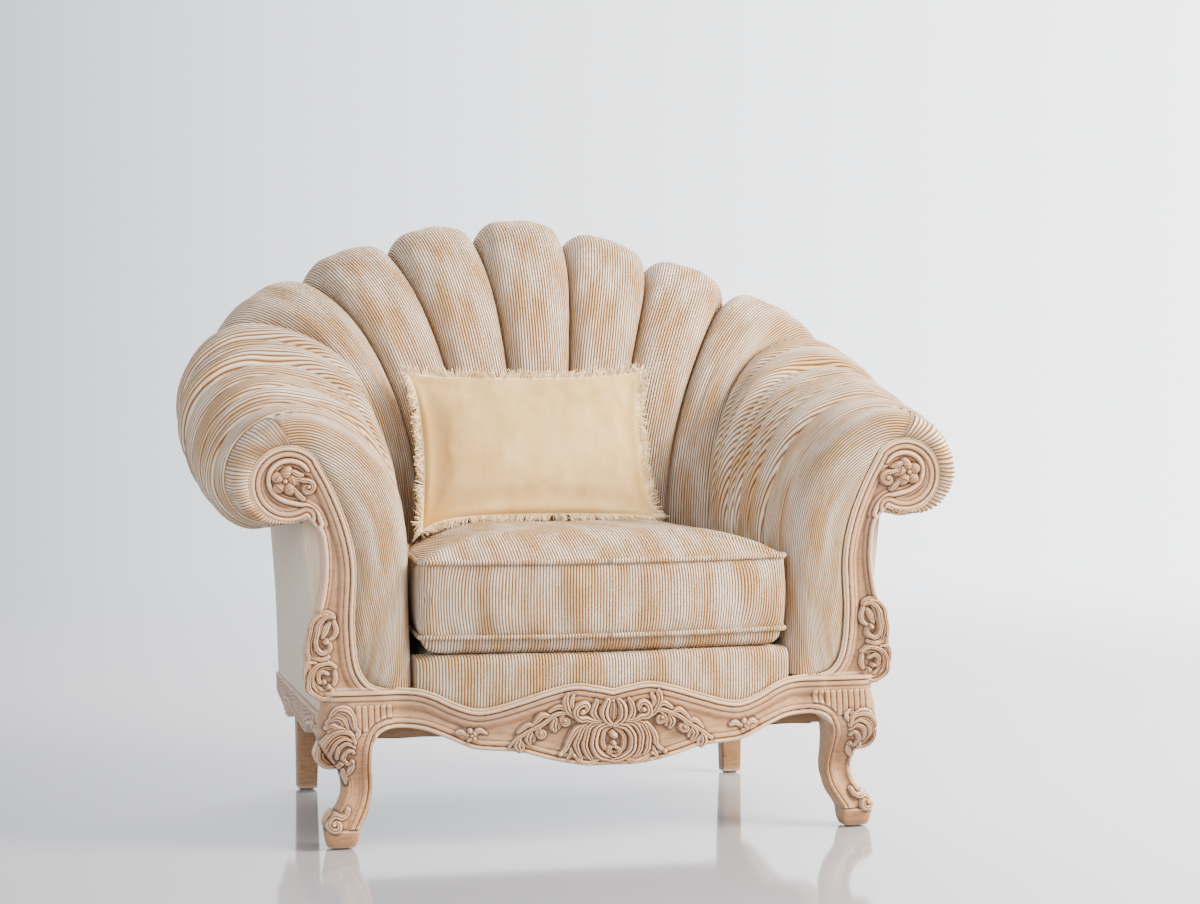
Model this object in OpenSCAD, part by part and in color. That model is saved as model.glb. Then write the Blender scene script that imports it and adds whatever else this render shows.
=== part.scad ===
// Shell-backed armchair with a carved show-wood frame.
// X runs to the right of someone facing the chair, -Y is the front, Z is up.
// Inside the modules Y counts from the middle of the front feet, and set_frame() moves it to the chair's middle.

/* [Seat] */
// Half of the clear width between the two arms at the front
seat_half = 303; // [290:1:320]
// Height of the springing deck under the loose cushion
deck_h = 298; // [292:1:304]
// Height of the cushion's boxing between its two piped edges
boxing_h = 116; // [100:1:130]
// Rise of the cushion's crown above its upper piping
crown_h = 36; // [20:1:44]
// Diameter of the piping cord
piping_d = 8; // [6:0.5:9]

/* [Back and arms] */
// Depth from the middle of the front feet to the crest of the back
back_depth = 612; // [600:1:624]
// Height of the seams between the channels at the middle of the crest
crest_h = 951; // [930:1:975]
// Height of the arm's crest at its front
arm_h = 686; // [670:1:700]
// Distance from the arm's inner face to its crest
arm_spread = 175; // [165:1:185]
// Depth of the sewn channels at the crest
channel_d = 37; // [20:1:42]
// Number of loop points along one channel's width
channel_steps = 6; // [4:1:6]

/* [Show wood] */
// Height of the serpentine front rail, from its lowest point to its ends
rail_h = 122; // [118:1:126]
// Thickness of the front rail
rail_t = 32; // [26:1:34]
// Radius of the front rail's bow in plan
bow_r = 1140; // [1000:10:1400]
// Distance from the arm's inner face to the inner side of the front leg
leg_in = 69; // [66:1:72]
// Radius of the scroll at the top of the arm facing
volute_r = 58; // [54:1:60]
// Height of the glide under each foot
glide_h = 3; // [2:0.5:4]

/* [Loose pillow] */
// Width of the pillow
pillow_w = 385; // [340:5:400]
// Height of the pillow
pillow_h = 250; // [220:5:260]
// Thickness of the pillow at its middle
pillow_t = 104; // [80:2:108]
// Width of the fringe around it
fringe_w = 16; // [10:1:18]

/* [Fits] */
// Clearance between neighbouring pieces
gap = 0.4; // [0.3:0.1:0.6]
// Thickness of the outer cover with its wadding
cover_t = 3.5; // [2:0.5:5]
// Diameter of the wood screws
screw_d = 5; // [4:0.5:6]

/* [Hidden] */

// Colours of the finishes
wood_c = "#c9a98a";
carving_c = "#d6b8a2";
beech_c = "#d8bd8c";
rib_c = "#eadbc2";
plain_c = "#ddd2c0";
pillow_c = "#eedfc4";
steel_c = "#9a9ea3";
jute_c = "#b79b6c";

// Reach of the whole chair before and behind the middle of the front feet
bow_front = -65;
cartouche_t = 10;
back_roll = 60;
front_reach = bow_front - gap - cartouche_t;
back_reach = back_depth + back_roll + 0.54 * channel_d;
frame_shift = -(front_reach + back_reach) / 2;

// Levels
rail_low = 124;
block_top = rail_low + rail_h;
seat_base = block_top + 4;
cushion_z = deck_h + gap;
cushion_drop = 27.6;
piping_low = cushion_z + cushion_drop;
piping_high = piping_low + boxing_h;
spring_top = 240;
clip_rise = 2.2;
deck_low = spring_top + clip_rise + gap;

// Clearance round a screw in its thread, and in the piece that it holds
thread_room = 0.05;
shank_room = 0.2;

// Planes behind the front of the arm
pad_plane = 45;
board_t = 14;
board_front = pad_plane - gap - board_t;
facing_front = -12;
pad_front = -17;

// Plan of the upholstered horseshoe at every half channel, from the middle of the back to the arm's front
arm_x = seat_half;
crest_x = seat_half + arm_spread;
frame_x = seat_half + 99;
volute_c = [crest_x + 22, arm_h - 119];
seat_back = back_depth - 207;
core_back = back_depth - 60;
outer_back = back_depth - 8;
// Level line at a share of the way from the arm's front to the crest of the back
function side_y(share) = pad_plane + (back_depth - pad_plane) * share;
base_plan = [[0, seat_back], [42, seat_back], [84, seat_back], [126, seat_back], [168, seat_back - 1],
  [214, seat_back - 5], [arm_x - 49, seat_back - 21], [arm_x - 27, side_y(0.524)], [arm_x - 19, side_y(0.423)],
  [arm_x - 15, side_y(0.317)], [arm_x - 10, side_y(0.212)], [arm_x - 5, side_y(0.106)], [arm_x, pad_plane]];
crest_plan = [[0, back_depth], [80, back_depth], [155, back_depth], [232, back_depth - 1], [306, back_depth - 7],
  [crest_x - 101, back_depth - 22], [crest_x - 40, back_depth - 58], [crest_x + 1, side_y(0.794)],
  [crest_x + 16, side_y(0.654)], [crest_x + 18, side_y(0.503)], [crest_x + 14, side_y(0.339)],
  [crest_x + 7, side_y(0.169)], [crest_x, pad_plane]];
core_plan = [[0, core_back], [70, core_back], [140, core_back], [205, core_back], [262, core_back - 2],
  [312, core_back - 12], [frame_x - 46, core_back - 42], [frame_x - 14, side_y(0.714)],
  [frame_x - 1, side_y(0.573)], [frame_x + 3, side_y(0.432)], [frame_x + 5, side_y(0.291)],
  [frame_x + 7, side_y(0.141)], [frame_x + 8, pad_plane]];
outer_plan = [[0, outer_back], [80, outer_back], [155, outer_back], [232, outer_back], [306, outer_back],
  [frame_x - 32, outer_back], [frame_x + 22, outer_back - 10], [frame_x + 31, side_y(0.864)],
  [frame_x + 34, side_y(0.714)], [frame_x + 36, side_y(0.538)], [frame_x + 38, side_y(0.353)],
  [frame_x + 40, side_y(0.168)], [frame_x + 42, pad_plane]];
last_k = 6;
back_end_k = 3.5;
corner_k = 3;

// Small tools
function lerp(a, b, t) = a + (b - a) * t;
function clamp01(t) = min(max(t, 0), 1);
function smooth(t) = let (u = clamp01(t)) u * u * (3 - 2 * u);
function unit(v) = v / norm(v);
function catmull(a, b, c, d, t) =
  0.5 * (2 * b + (c - a) * t + (2 * a - 5 * b + 4 * c - d) * t * t + (3 * b - a - 3 * c + d) * t * t * t);
function spline(p, n) =
  [for (i = [0:len(p) - 2], j = [0:n - 1])
    catmull(p[max(i - 1, 0)], p[i], p[i + 1], p[min(i + 2, len(p) - 1)], j / n), p[len(p) - 1]];
function flip(p) = [for (q = p) [-q.x, q.y]];
function backwards(p) = [for (i = [len(p) - 1:-1:0]) p[i]];
function mirrored(p) = concat(backwards(flip([for (i = [1:len(p) - 1]) p[i]])), p);
function along(plan, k) =
  let (u = abs(k) * 2, n = len(plan) - 1, i = min(floor(u), n - 1),
    a = i == 0 ? [-plan[1].x, plan[1].y] : plan[i - 1],
    d = i + 2 > n ? 2 * plan[n] - plan[n - 1] : plan[i + 2],
    q = catmull(a, plan[i], plan[i + 1], d, u - i))
  [k < 0 ? -q.x : q.x, q.y];

// Upholstered shell: k counts channels from the middle, v runs from the base over the crest to the tuck
function crest_z(k) = arm_h + (crest_h - arm_h) * pow(abs(cos(15 * min(abs(k), last_k))), 1.85);
function arm_share(k) = smooth((abs(k) - 2.2) / 2.4);
function outward(k) =
  let (t = along(crest_plan, min(k + 0.05, last_k)) - along(crest_plan, max(k - 0.05, -last_k)))
  unit(lerp(unit([-t.y, t.x]), [sign(k), 0], smooth(abs(k) - 5)));
function bezier(a, b, c, d, t) =
  pow(1 - t, 3) * a + 3 * pow(1 - t, 2) * t * b + 3 * (1 - t) * t * t * c + t * t * t * d;
function at(p, z) = [p.x, p.y, z];
function out3(n, r) = [n.x * r, n.y * r, 0];

// Levels along v where the parts of the loop meet
v_seat = 0.12;
v_crest = 0.62;
v_side = 0.80;
v_under = 0.93;
seat_z = 450;

function loop_point(k, v, base, start_z, lean, top_z, r_out, r_drop, r_in, r_fall, tuck, tuck_z) =
  let (c = along(crest_plan, k), n = outward(k), b = along(base, k), s = at(b + n * lean, start_z),
    crest = at(c, top_z), side = crest + out3(n, r_out) - [0, 0, r_drop],
    under = side - out3(n, r_in) - [0, 0, r_fall], end = at(c + n * tuck, tuck_z),
    reach = norm(c - b))
  v <= v_seat ? lerp(at(b, seat_base), s, v / v_seat) :
  v <= v_crest ? bezier(s, s + [0, 0, 0.55 * (top_z - start_z)], crest - out3(n, 0.55 * reach), crest,
    (v - v_seat) / (v_crest - v_seat)) :
  v <= v_side ? let (a = 90 * (v - v_crest) / (v_side - v_crest))
    crest + out3(n, r_out * sin(a)) - [0, 0, r_drop * (1 - cos(a))] :
  v <= v_under ? let (a = 90 * (v - v_side) / (v_under - v_side))
    side - out3(n, r_in * (1 - cos(a))) - [0, 0, r_fall * sin(a)] :
  lerp(under, end, (v - v_under) / (1 - v_under));

core_drop = 48;
core_bend_z = 700;
core_lean = 40;
function tuck(k) = lerp(42, -16, smooth((abs(k) - 2) / 1.6)) + 10 * smooth(abs(k) - 5);
function roll_out(k) = lerp(back_roll, 110, arm_share(k)) + 12 * smooth(abs(k) - 5);
function shell_point(k, v) = let (a = arm_share(k), z = crest_z(k))
  loop_point(k, v, base_plan, seat_z, 0, z, roll_out(k), lerp(72, 115, a), lerp(14, 82, a),
    lerp(40, 77, a), tuck(k), z - lerp(118, 182, a));
function core_point(k, v) = let (a = arm_share(k), z = crest_z(k))
  loop_point(k, v, core_plan, lerp(core_bend_z, z - 130, a), lerp(core_lean, 6, a), z - core_drop,
    lerp(24, 66, a), lerp(42, 70, a), lerp(6, 37, a), lerp(24, 30, a), tuck(k) - lerp(9, 6, a),
    z - lerp(112, 166, a));

// Share of the channel depth across one channel, and its fade along v
function channel_share(k) = let (d = abs(abs(k) - round(abs(k))) * 2,
    strength = abs(k) < 0.5 ? 1 : abs(k) < 3.5 ? 0.78 : abs(k) < 4.5 ? 0.42 : abs(k) < 5.5 ? 0.2 : 0)
  strength * pow(1 - pow(min(d, 1), 2.3), 0.55);
function channel_fade(v) =
  v < v_crest ? lerp(0.45, 1, smooth(v / 0.42)) : lerp(1, 0, smooth((v - v_crest) / (1 - v_crest)));
function shell_normal(k, v) = let (e = 0.01, v0 = max(v - e, 0), v1 = min(v + e, 1),
    k0 = max(k - e, -last_k), k1 = min(k + e, last_k))
  unit(cross(shell_point(k1, v) - shell_point(k0, v), shell_point(k, v1) - shell_point(k, v0)));
function padded_point(k, v) = shell_point(k, v)
  + shell_normal(k, v) * channel_d * channel_share(k) * channel_fade(v);

loop_v = [0, v_seat, 0.21, 0.31, 0.41, 0.52, v_crest, 0.68, 0.74, v_side, 0.87, v_under, 1];
function pad_loop(k) =
  concat([for (v = loop_v) padded_point(k, v)], backwards([for (v = loop_v) core_point(k, v)]));

// Closed solid through equal loops, whose two halves face each other so that the ends close as strips
module skin_loops(loops) {
  n = len(loops[0]);
  m = len(loops);
  half = n / 2;
  sides = [for (i = [0:m - 2], j = [0:n - 1])
    let (a = i * n + j, b = i * n + (j + 1) % n, c = a + n, d = b + n) each [[a, b, d], [a, d, c]]];
  last = (m - 1) * n;
  ends = [for (j = [0:half - 2])
    let (a = j, b = j + 1, c = n - 2 - j, d = n - 1 - j)
    each [[a, c, b], [a, d, c], [last + a, last + b, last + c], [last + a, last + c, last + d]]];
  polyhedron([for (l = loops) each l], concat(sides, ends), convexity = 8);
}

// Closed solid through rings, closed by a fan at each end
module skin_rings(rings, hub = 0) {
  n = len(rings[0]);
  m = len(rings);
  sides = [for (i = [0:m - 2], j = [0:n - 1])
    let (a = i * n + j, b = i * n + (j + 1) % n, c = a + n, d = b + n) each [[a, d, b], [a, c, d]]];
  last = (m - 1) * n;
  ends = [for (j = [1:n - 2]) let (a = (hub + j) % n, b = (hub + j + 1) % n)
    each [[hub, a, b], [last + hub, last + b, last + a]]];
  polyhedron([for (r = rings) each r], concat(sides, ends), convexity = 8);
}

module set_frame() translate([0, frame_shift, 0]) children();
module left_or_right(side) mirror([side < 0 ? 1 : 0, 0, 0]) children();

// Prism of an outline in X and Z, between two Y planes
module front_prism(outline, y0, y1)
  translate([0, y1, 0]) rotate([90, 0, 0]) linear_extrude(y1 - y0) polygon(outline);

// Show wood

leg_x = seat_half + leg_in;
rail_top_half = [[0, 116], [28, 122], [60, 126], [96, 119], [141, 105], [185, 92], [215, 89], [247, 99],
  [274, 112], [300, 120], [330, 122], [leg_x - gap, 122]];
rail_bottom_half = [[0, 0], [35, 0], [68, 4], [100, 11], [122, 17], [150, 24], [208, 28], [232, 35], [262, 48],
  [296, 60], [335, 64], [358, 56], [leg_x - gap, 34]];
function rail_lift(p) = [p.x, rail_low + p.y * rail_h / 122];
function bow_y(x, front, r) = front + r - sqrt(r * r - x * x);
rail_end_y = bow_y(leg_x, bow_front, bow_r);
tenon_y = rail_end_y + 6;
tenon_z = 190;
tenon_t = 12;
tenon_h = 40;
tenon_l = 19;
function rail_top_line() = mirrored(spline([for (p = rail_top_half) rail_lift(p)], 3));
function rail_bottom_line() = mirrored(spline([for (p = rail_bottom_half) rail_lift(p)], 3));

// Ring that follows the bow, from a distance behind the rail's front face
module bowed(front, thick, low, high) translate([0, bow_front + bow_r, low])
  linear_extrude(high - low) difference() {
    circle(bow_r - front, $fn = 180);
    circle(bow_r - front - thick, $fn = 180);
  }

module front_rail() color(wood_c) set_frame() {
  intersection() {
    front_prism(concat(rail_bottom_line(), backwards(rail_top_line())), -90, 60);
    bowed(0, rail_t, rail_low - 5, block_top + 20);
  }
  for (s = [-1, 1]) left_or_right(s)
    translate([leg_x - gap - 1, tenon_y, tenon_z]) cube([tenon_l, tenon_t, tenon_h]);
}

// Front leg at its key heights: inner and outer side from the leg's inner line, then front and back
leg_keys = [[3, 27, 66, -18, 20], [14, 23, 72, -22, 22], [35, 18, 77, -28, 24], [54, 5, 62, -18, 29],
  [72, -1, 48, -8, 33], [90, -4, 42, -4, 36], [112, -4, 52, -7, 38], [138, -3, 70, -20, 42], [154, 0, 80, -28, 44],
  [170, 0, 84, -33, 46], [200, 0, 78, -28, 49], [222, 0, 74, -20, 50], [block_top - gap, 0, 80, -18, 50]];
leg_ring_points = 16;
leg_squareness = 0.62;
function half_share(c) = 0.5 + 0.5 * sign(c) * pow(abs(c), leg_squareness);
function leg_section(q) =
  [for (i = [0:leg_ring_points - 1]) let (a = 360 * i / leg_ring_points)
    [leg_x + lerp(q[1], q[2], half_share(cos(a))), lerp(q[3], q[4], half_share(sin(a))), q[0]]];
function leg_levels() = spline([for (l = leg_keys) [max(l[0], glide_h + gap), l[1], l[2], l[3], l[4]]], 2);

module front_leg(side) color(wood_c) set_frame() left_or_right(side) difference() {
  skin_rings([for (q = leg_levels()) leg_section(q)]);
  translate([leg_x - tenon_t, tenon_y - gap, tenon_z - gap])
    cube([tenon_t + tenon_l, tenon_t + 2 * gap, tenon_h + 2 * gap]);
  translate([frame_x + 8 - gap, 30, side_tenon_z - gap]) cube([tenon_t + 2 * gap, 40, side_tenon_h + 2 * gap]);
}

// Outlines of the arm facing, outward from the arm's inner face
facing_outer = [[149, block_top + gap], [163, 262], [170, 286], [171, 310], [164, 338], [154, 362], [146, 395],
  [142, 430], [143, 465], [149, 494], [arm_spread - 6, volute_c.y - 50]];
facing_inner = [[49, block_top + gap], [74, 256], [91, 286], [97, 350], [94, 434], [105, 496],
  [arm_spread - 46, volute_c.y - 9], [arm_spread - 20, volute_c.y + 39]];
function from_arm(points) = [for (q = points) [q.x + seat_half, q.y]];
module facing_outline() union() {
  translate(volute_c) circle(volute_r, $fn = 72);
  polygon(concat(from_arm(spline(facing_outer, 3)), [volute_c], backwards(from_arm(spline(facing_inner, 3)))));
}

screw_places = [[seat_half + 121, 308], [seat_half + 118, 440], volute_c];
module arm_facing(side) color(wood_c) set_frame() left_or_right(side) difference() {
  translate([0, board_front - gap, 0]) rotate([90, 0, 0]) linear_extrude(board_front - gap - facing_front)
    facing_outline();
  for (p = screw_places) translate([p.x, facing_front + 16, p.y]) rotate([-90, 0, 0])
    cylinder(d = screw_d + 2 * thread_room, h = 60, $fn = 32);
}

// Side rail: serpentine in elevation, tapering inward to the back in plan
side_top_z = 206;
leg_back = 50;
leg_rear_y = back_depth - 55;
side_rail_front = leg_back + gap;
side_rail_back = leg_rear_y + 31;
side_tenon_z = 170;
side_tenon_h = 50;
function rail_y(share) = lerp(leg_back, side_rail_back, share);
side_bottom = [[side_rail_front, 152], [rail_y(0.037), 170], [rail_y(0.112), 178], [rail_y(0.223), 168],
  [rail_y(0.335), 150], [rail_y(0.409), 144], [rail_y(0.52), 152], [rail_y(0.632), 166], [rail_y(0.743), 166],
  [rail_y(0.836), 152], [rail_y(0.911), 132], [side_rail_back, 128]];
side_rail_out = frame_x + 45;
side_rail_bevel = [[-140, 90], [-23, 90], [-18, 132], [-1, 172], [5, 204], [5, 260], [-140, 260]];
module side_rail(side) color(wood_c) set_frame() left_or_right(side) difference() {
  union() {
    intersection() {
      rotate([90, 0, 90]) linear_extrude(600)
        polygon(concat(spline(side_bottom, 2), [[side_rail_back, side_top_z], [side_rail_front, side_top_z]]));
      linear_extrude(400) polygon([[frame_x, 0], [side_rail_out, 0], [side_rail_out, 120],
        [side_rail_out - 15, side_rail_back + 10], [frame_x, side_rail_back + 10]]);
      translate([side_rail_out, 0, 0]) rotate([0, 0, 1.8]) front_prism(side_rail_bevel, 0, side_rail_back + 50);
    }
    translate([frame_x, side_rail_front, side_top_z - 6])
      cube([26, side_rail_back - 20 - side_rail_front, rail_top_z - side_top_z + 6]);
    translate([frame_x + 8, leg_back - 16, side_tenon_z]) cube([tenon_t, 20, side_tenon_h]);
  }
  side_screw_holes(screw_d / 2 + thread_room);
}

block_leg = 66;
side_screw_y = [80, leg_rear_y - 29];
side_screw_z = 195;
cross_screw_z = 212;
front_screw_x = frame_x - 36;
rear_screw_x = frame_x - 50;
cross_rail_t = 20;
spring_rail_y = bow_y(leg_x, bow_front, bow_r - rail_t) + rail_t + gap;
block_front = spring_rail_y + cross_rail_t + gap;
module side_screw_holes(r) for (y = side_screw_y)
  translate([frame_x - 47, y, side_screw_z]) rotate([0, 90, 0]) cylinder(r = r, h = 72, $fn = 32);
module cross_screw_holes(r) for (p = [[front_screw_x, spring_rail_y - 2], [rear_screw_x, leg_rear_y - 57]])
  translate([p.x, p.y, cross_screw_z]) rotate([-90, 0, 0]) cylinder(r = r, h = 80, $fn = 32);

// Rear leg, one piece with the back post
post_top = 712;
post_in = frame_x - 40;
rear_w = 2 * (post_in - gap);
rear_tenon = [12, 14, 44];
rear_tenon_y = leg_rear_y + 11;
rear_tenon_z = 175;
rear_leg_side = [[leg_rear_y + 3, glide_h + gap], [leg_rear_y + 32, glide_h + gap], [leg_rear_y + 34, 200],
  [leg_rear_y + 34, 300], [leg_rear_y + 30, post_top], [leg_rear_y, post_top], [leg_rear_y, 200]];
rear_leg_face = [[post_in + 4, 0], [frame_x - 2, 0], [frame_x - gap, 120], [frame_x - gap, 800], [post_in, 800],
  [post_in, 130]];
module rear_leg(side) color(beech_c) set_frame() left_or_right(side) difference() {
  intersection() {
    rotate([90, 0, 90]) linear_extrude(420) polygon(rear_leg_side);
    front_prism(rear_leg_face, leg_rear_y - 60, leg_rear_y + 140);
  }
  translate([post_in - 22, rear_tenon_y, rear_tenon_z])
    cube([22 + rear_tenon.x + gap, rear_tenon.y, rear_tenon.z]);
}

// Seat frame and back frame
rail_top_z = spring_top - 4.2;

cross_rail_z = 165;
back_rail_t = 28;
module back_rail() color(beech_c) set_frame() difference() {
  union() {
    translate([-rear_w / 2, leg_rear_y, cross_rail_z]) cube([rear_w, back_rail_t, rail_top_z - cross_rail_z]);
    for (s = [-1, 1]) left_or_right(s)
      translate([post_in - rear_tenon.x, rear_tenon_y + gap, rear_tenon_z + gap])
        cube([2 * rear_tenon.x, rear_tenon.y - 2 * gap, rear_tenon.z - 2 * gap]);
  }
  for (s = [-1, 1]) left_or_right(s) cross_screw_holes(screw_d / 2 + thread_room);
}

module spring_rail() color(beech_c) set_frame() difference() {
  translate([-leg_x + gap, spring_rail_y, cross_rail_z])
    cube([2 * (leg_x - gap), cross_rail_t, rail_top_z - cross_rail_z]);
  for (s = [-1, 1]) left_or_right(s) cross_screw_holes(screw_d / 2 + thread_room);
}

rail_shoulder = 12;
crest_rail_tall = 62;
function crest_ring(k) = let (a = arm_share(k), c = along(crest_plan, k), n = outward(k), w = lerp(12, 28, a),
    top = crest_z(k) - core_drop - gap, low = top - lerp(crest_rail_tall, 56, a))
  [at(c - n * w, low), at(c + n * w, low), at(c + n * w, top - rail_shoulder), at(c, top),
    at(c - n * w, top - rail_shoulder)];
rail_join_k = 2.85;
module crest_rail() color(beech_c) set_frame()
  skin_rings([for (i = [-19:19]) crest_ring(i * rail_join_k / 19)]);
module arm_top_rail(side) color(beech_c) set_frame() left_or_right(side)
  skin_rings([for (i = [0:16]) crest_ring(lerp(rail_join_k + 0.006, last_k - 0.004, i / 16))]);

tack_z = 258;
tack_h = 40;
module back_tack_rail() color(beech_c) set_frame()
  translate([-rear_w / 2, strap_y(tack_z + tack_h) + strap_t + gap, tack_z]) cube([rear_w, 24, tack_h]);
module arm_tack_rail(side) color(beech_c) set_frame() left_or_right(side)
  translate([frame_x, 0, tack_z]) linear_extrude(tack_h)
    polygon([[10, pad_plane], [8, side_y(0.36)], [0, side_y(0.626)], [0, leg_rear_y + 27],
      [16, leg_rear_y + 27], [26, side_y(0.767)], [28, side_y(0.36)], [28, pad_plane]]);

// Front of the arm: the profile at the last station, in X and Z
function profile_2d(v) = let (p = shell_point(last_k, v)) [p.x, p.z];
board_inset = 10;
board_v = [0, v_seat, 0.2, 0.28, 0.36, 0.44, 0.52, 0.57, v_crest, 0.66, 0.7, 0.74, 0.77, v_side, 0.84, 0.88,
  v_under, 1];
module arm_board(side) color(beech_c) set_frame() left_or_right(side) difference() {
  translate([0, board_front + board_t, 0]) rotate([90, 0, 0]) linear_extrude(board_t)
    offset(delta = -board_inset) polygon(concat([for (v = board_v) profile_2d(v)], [[seat_half + 149, seat_base]]));
  for (p = screw_places) translate([p.x, -10, p.y]) rotate([-90, 0, 0])
    cylinder(d = screw_d + 2 * shank_room, h = 80, $fn = 32);
}

screw_head_d = 9;
screw_head_h = 3;
head_room = 0.3;
block_seat = 16;
block_z = 172;
block_h = 58;
module corner_blocks() color(beech_c) set_frame() for (s = [-1, 1]) left_or_right(s) {
  x = frame_x - gap;
  back = leg_rear_y - gap;
  difference() {
    translate([0, 0, block_z]) linear_extrude(block_h)
      polygon([[x, block_front], [x - block_leg, block_front], [x, block_front + block_leg]]);
    block_cuts();
  }
  difference() {
    translate([0, 0, block_z]) linear_extrude(block_h)
      polygon([[x, back], [x, back - block_leg], [x - block_leg, back]]);
    block_cuts();
  }
}
module head_bore(long) cylinder(d = screw_head_d + 2 * head_room, h = long, $fn = 32);
module block_cuts() {
  side_screw_holes(screw_d / 2 + shank_room);
  cross_screw_holes(screw_d / 2 + shank_room);
  for (y = side_screw_y) translate([frame_x - 102, y, side_screw_z]) rotate([0, 90, 0]) head_bore(78);
  translate([front_screw_x, block_front + block_seat, cross_screw_z]) rotate([-90, 0, 0]) head_bore(80);
  translate([rear_screw_x, leg_rear_y - gap - block_seat, cross_screw_z]) rotate([90, 0, 0]) head_bore(100);
}
module screw(long) {
  cylinder(d = screw_d, h = long, $fn = 32);
  cylinder(d = screw_head_d, h = screw_head_h, $fn = 32);
}
module corner_screws() color(steel_c) set_frame() for (s = [-1, 1]) left_or_right(s) {
  head = screw_head_h + shank_room;
  for (y = side_screw_y) translate([frame_x - 24 - head, y, side_screw_z]) rotate([0, 90, 0]) screw(48);
  translate([front_screw_x, block_front + block_seat + head, cross_screw_z]) rotate([90, 0, 0]) screw(34);
  translate([rear_screw_x, leg_rear_y - gap - block_seat - head, cross_screw_z]) rotate([-90, 0, 0]) screw(38);
}
module facing_screws() color(steel_c) set_frame() for (s = [-1, 1]) left_or_right(s)
  for (p = screw_places) translate([p.x, pad_plane + screw_head_h - 0.1, p.y]) rotate([90, 0, 0]) screw(34);

// Suspension

wire_d = 3.8;
spring_w = 46;
spring_x = [-240, -120, 0, 120, 240];
spring_y0 = round(spring_rail_y + 12);
spring_y1 = leg_rear_y - 3;
spring_bends = 17;
spring_pitch = (spring_y1 - spring_y0) / spring_bends;
clip_w = 18;
clip_l = 14;
clip_room = 0.3;
module half_ring(side) intersection() {
  difference() {
    circle(spring_pitch / 2 + wire_d / 2, $fn = 36);
    circle(spring_pitch / 2 - wire_d / 2, $fn = 36);
  }
  translate([side > 0 ? 0 : -50, -25]) square([50, 50]);
}
module spring_outline() {
  reach = (spring_w - spring_pitch) / 2;
  for (i = [0:spring_bends - 1]) translate([(i % 2 == 0 ? 1 : -1) * reach, i * spring_pitch + spring_pitch / 2])
    half_ring(i % 2 == 0 ? 1 : -1);
  for (i = [1:spring_bends - 1]) translate([-reach - 0.05, i * spring_pitch - wire_d / 2])
    square([2 * reach + 0.1, wire_d]);
  for (y = [0, spring_bends * spring_pitch]) translate([-reach, y - wire_d / 2])
    square([2 * reach + 0.05, wire_d]);
}
module seat_springs() color(steel_c) set_frame() for (x = spring_x)
  translate([x, spring_y0, spring_top - wire_d]) linear_extrude(wire_d) spring_outline();
module spring_clips() color(steel_c) set_frame() for (x = spring_x, y = [spring_y0, spring_y1])
  translate([x - clip_w / 2, y - clip_l / 2, 0]) difference() {
    translate([0, 0, rail_top_z + 0.02]) cube([clip_w, clip_l, spring_top + clip_rise - rail_top_z - 0.02]);
    translate([-1, clip_l / 2 - wire_d / 2 - clip_room, spring_top - wire_d - clip_room])
      cube([clip_w + 2, wire_d + 2 * clip_room, wire_d + 2 * clip_room]);
    translate([-1, -1, spring_top - 5]) cube([clip_w + 2, clip_l / 2 + 1, 5 + clip_room]);
  }

strap_w = 50;
strap_t = 1.5;
function strap_top(x) = crest_z((abs(x) + strap_w / 2) / 150) - core_drop - crest_rail_tall - 2 * gap;
strap_low = tack_z + 4;
strap_cross = strap_t + 0.3;
function strap_y(z) = core_back + 0.9 + core_lean * (z - seat_base) / (core_bend_z - seat_base);
// Side view of one strap, set back by a distance from the padding's back
function strap_side(low, high, back) = [[strap_y(low) + back, low], [strap_y(low) + back + strap_t, low],
  [strap_y(high) + back + strap_t, high], [strap_y(high) + back, high]];
module back_webbing() color(jute_c) set_frame() {
  for (x = [-200, -70, 70, 200]) rotate([90, 0, 90]) translate([0, 0, x - strap_w / 2])
    linear_extrude(strap_w) polygon(strap_side(strap_low, strap_top(x), 0));
  for (z = [360, 500, 640]) rotate([90, 0, 90]) translate([0, 0, -rear_w / 2])
    linear_extrude(rear_w) polygon(strap_side(z, z + strap_w, strap_cross));
}

deck_inset = 26;
function seat_outline() = let (n = 4 * last_k,
    p = [for (i = [0:n]) let (k = lerp(-last_k, last_k, i / n)) along(base_plan, k) - outward(k) * deck_inset])
  concat([[-arm_x + deck_inset, -80]], p, [[arm_x - deck_inset, -80]]);
border_t = 42;
border_set = 4;
module deck_pad() color(plain_c) set_frame() translate([0, 0, deck_low]) linear_extrude(deck_h - deck_low)
  difference() {
    polygon(seat_outline());
    difference() {
      translate([-400, -300]) square([800, 500]);
      translate([0, bow_front + bow_r]) circle(bow_r - border_set - border_t - gap, $fn = 180);
    }
  }
module dust_cover() color("#3a3733") set_frame()
  translate([-rear_w / 2 + 4, spring_rail_y, cross_rail_z - gap - 1])
    cube([rear_w - 8, leg_rear_y + back_rail_t - 2 - spring_rail_y, 1]);

module foot_glides() color("#6e5e4e") set_frame() for (s = [-1, 1]) left_or_right(s) {
  translate([leg_x + 46.5, 1, 0]) cylinder(r = 13, h = glide_h, $fn = 40);
  translate([frame_x - 19, leg_rear_y + 17.5, 0]) cylinder(r = 12, h = glide_h, $fn = 40);
}

// Upholstery

module inside_back() color(rib_c) set_frame() {
  n = 2 * back_end_k * channel_steps;
  skin_loops([for (i = [0:n]) pad_loop(lerp(-back_end_k, back_end_k, i / n))]);
}
module inside_arm(side) color(rib_c) set_frame() left_or_right(side)
  skin_loops([for (i = [back_end_k * channel_steps:last_k * channel_steps])
    pad_loop(max(i / channel_steps, back_end_k + 0.02))]);

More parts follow.
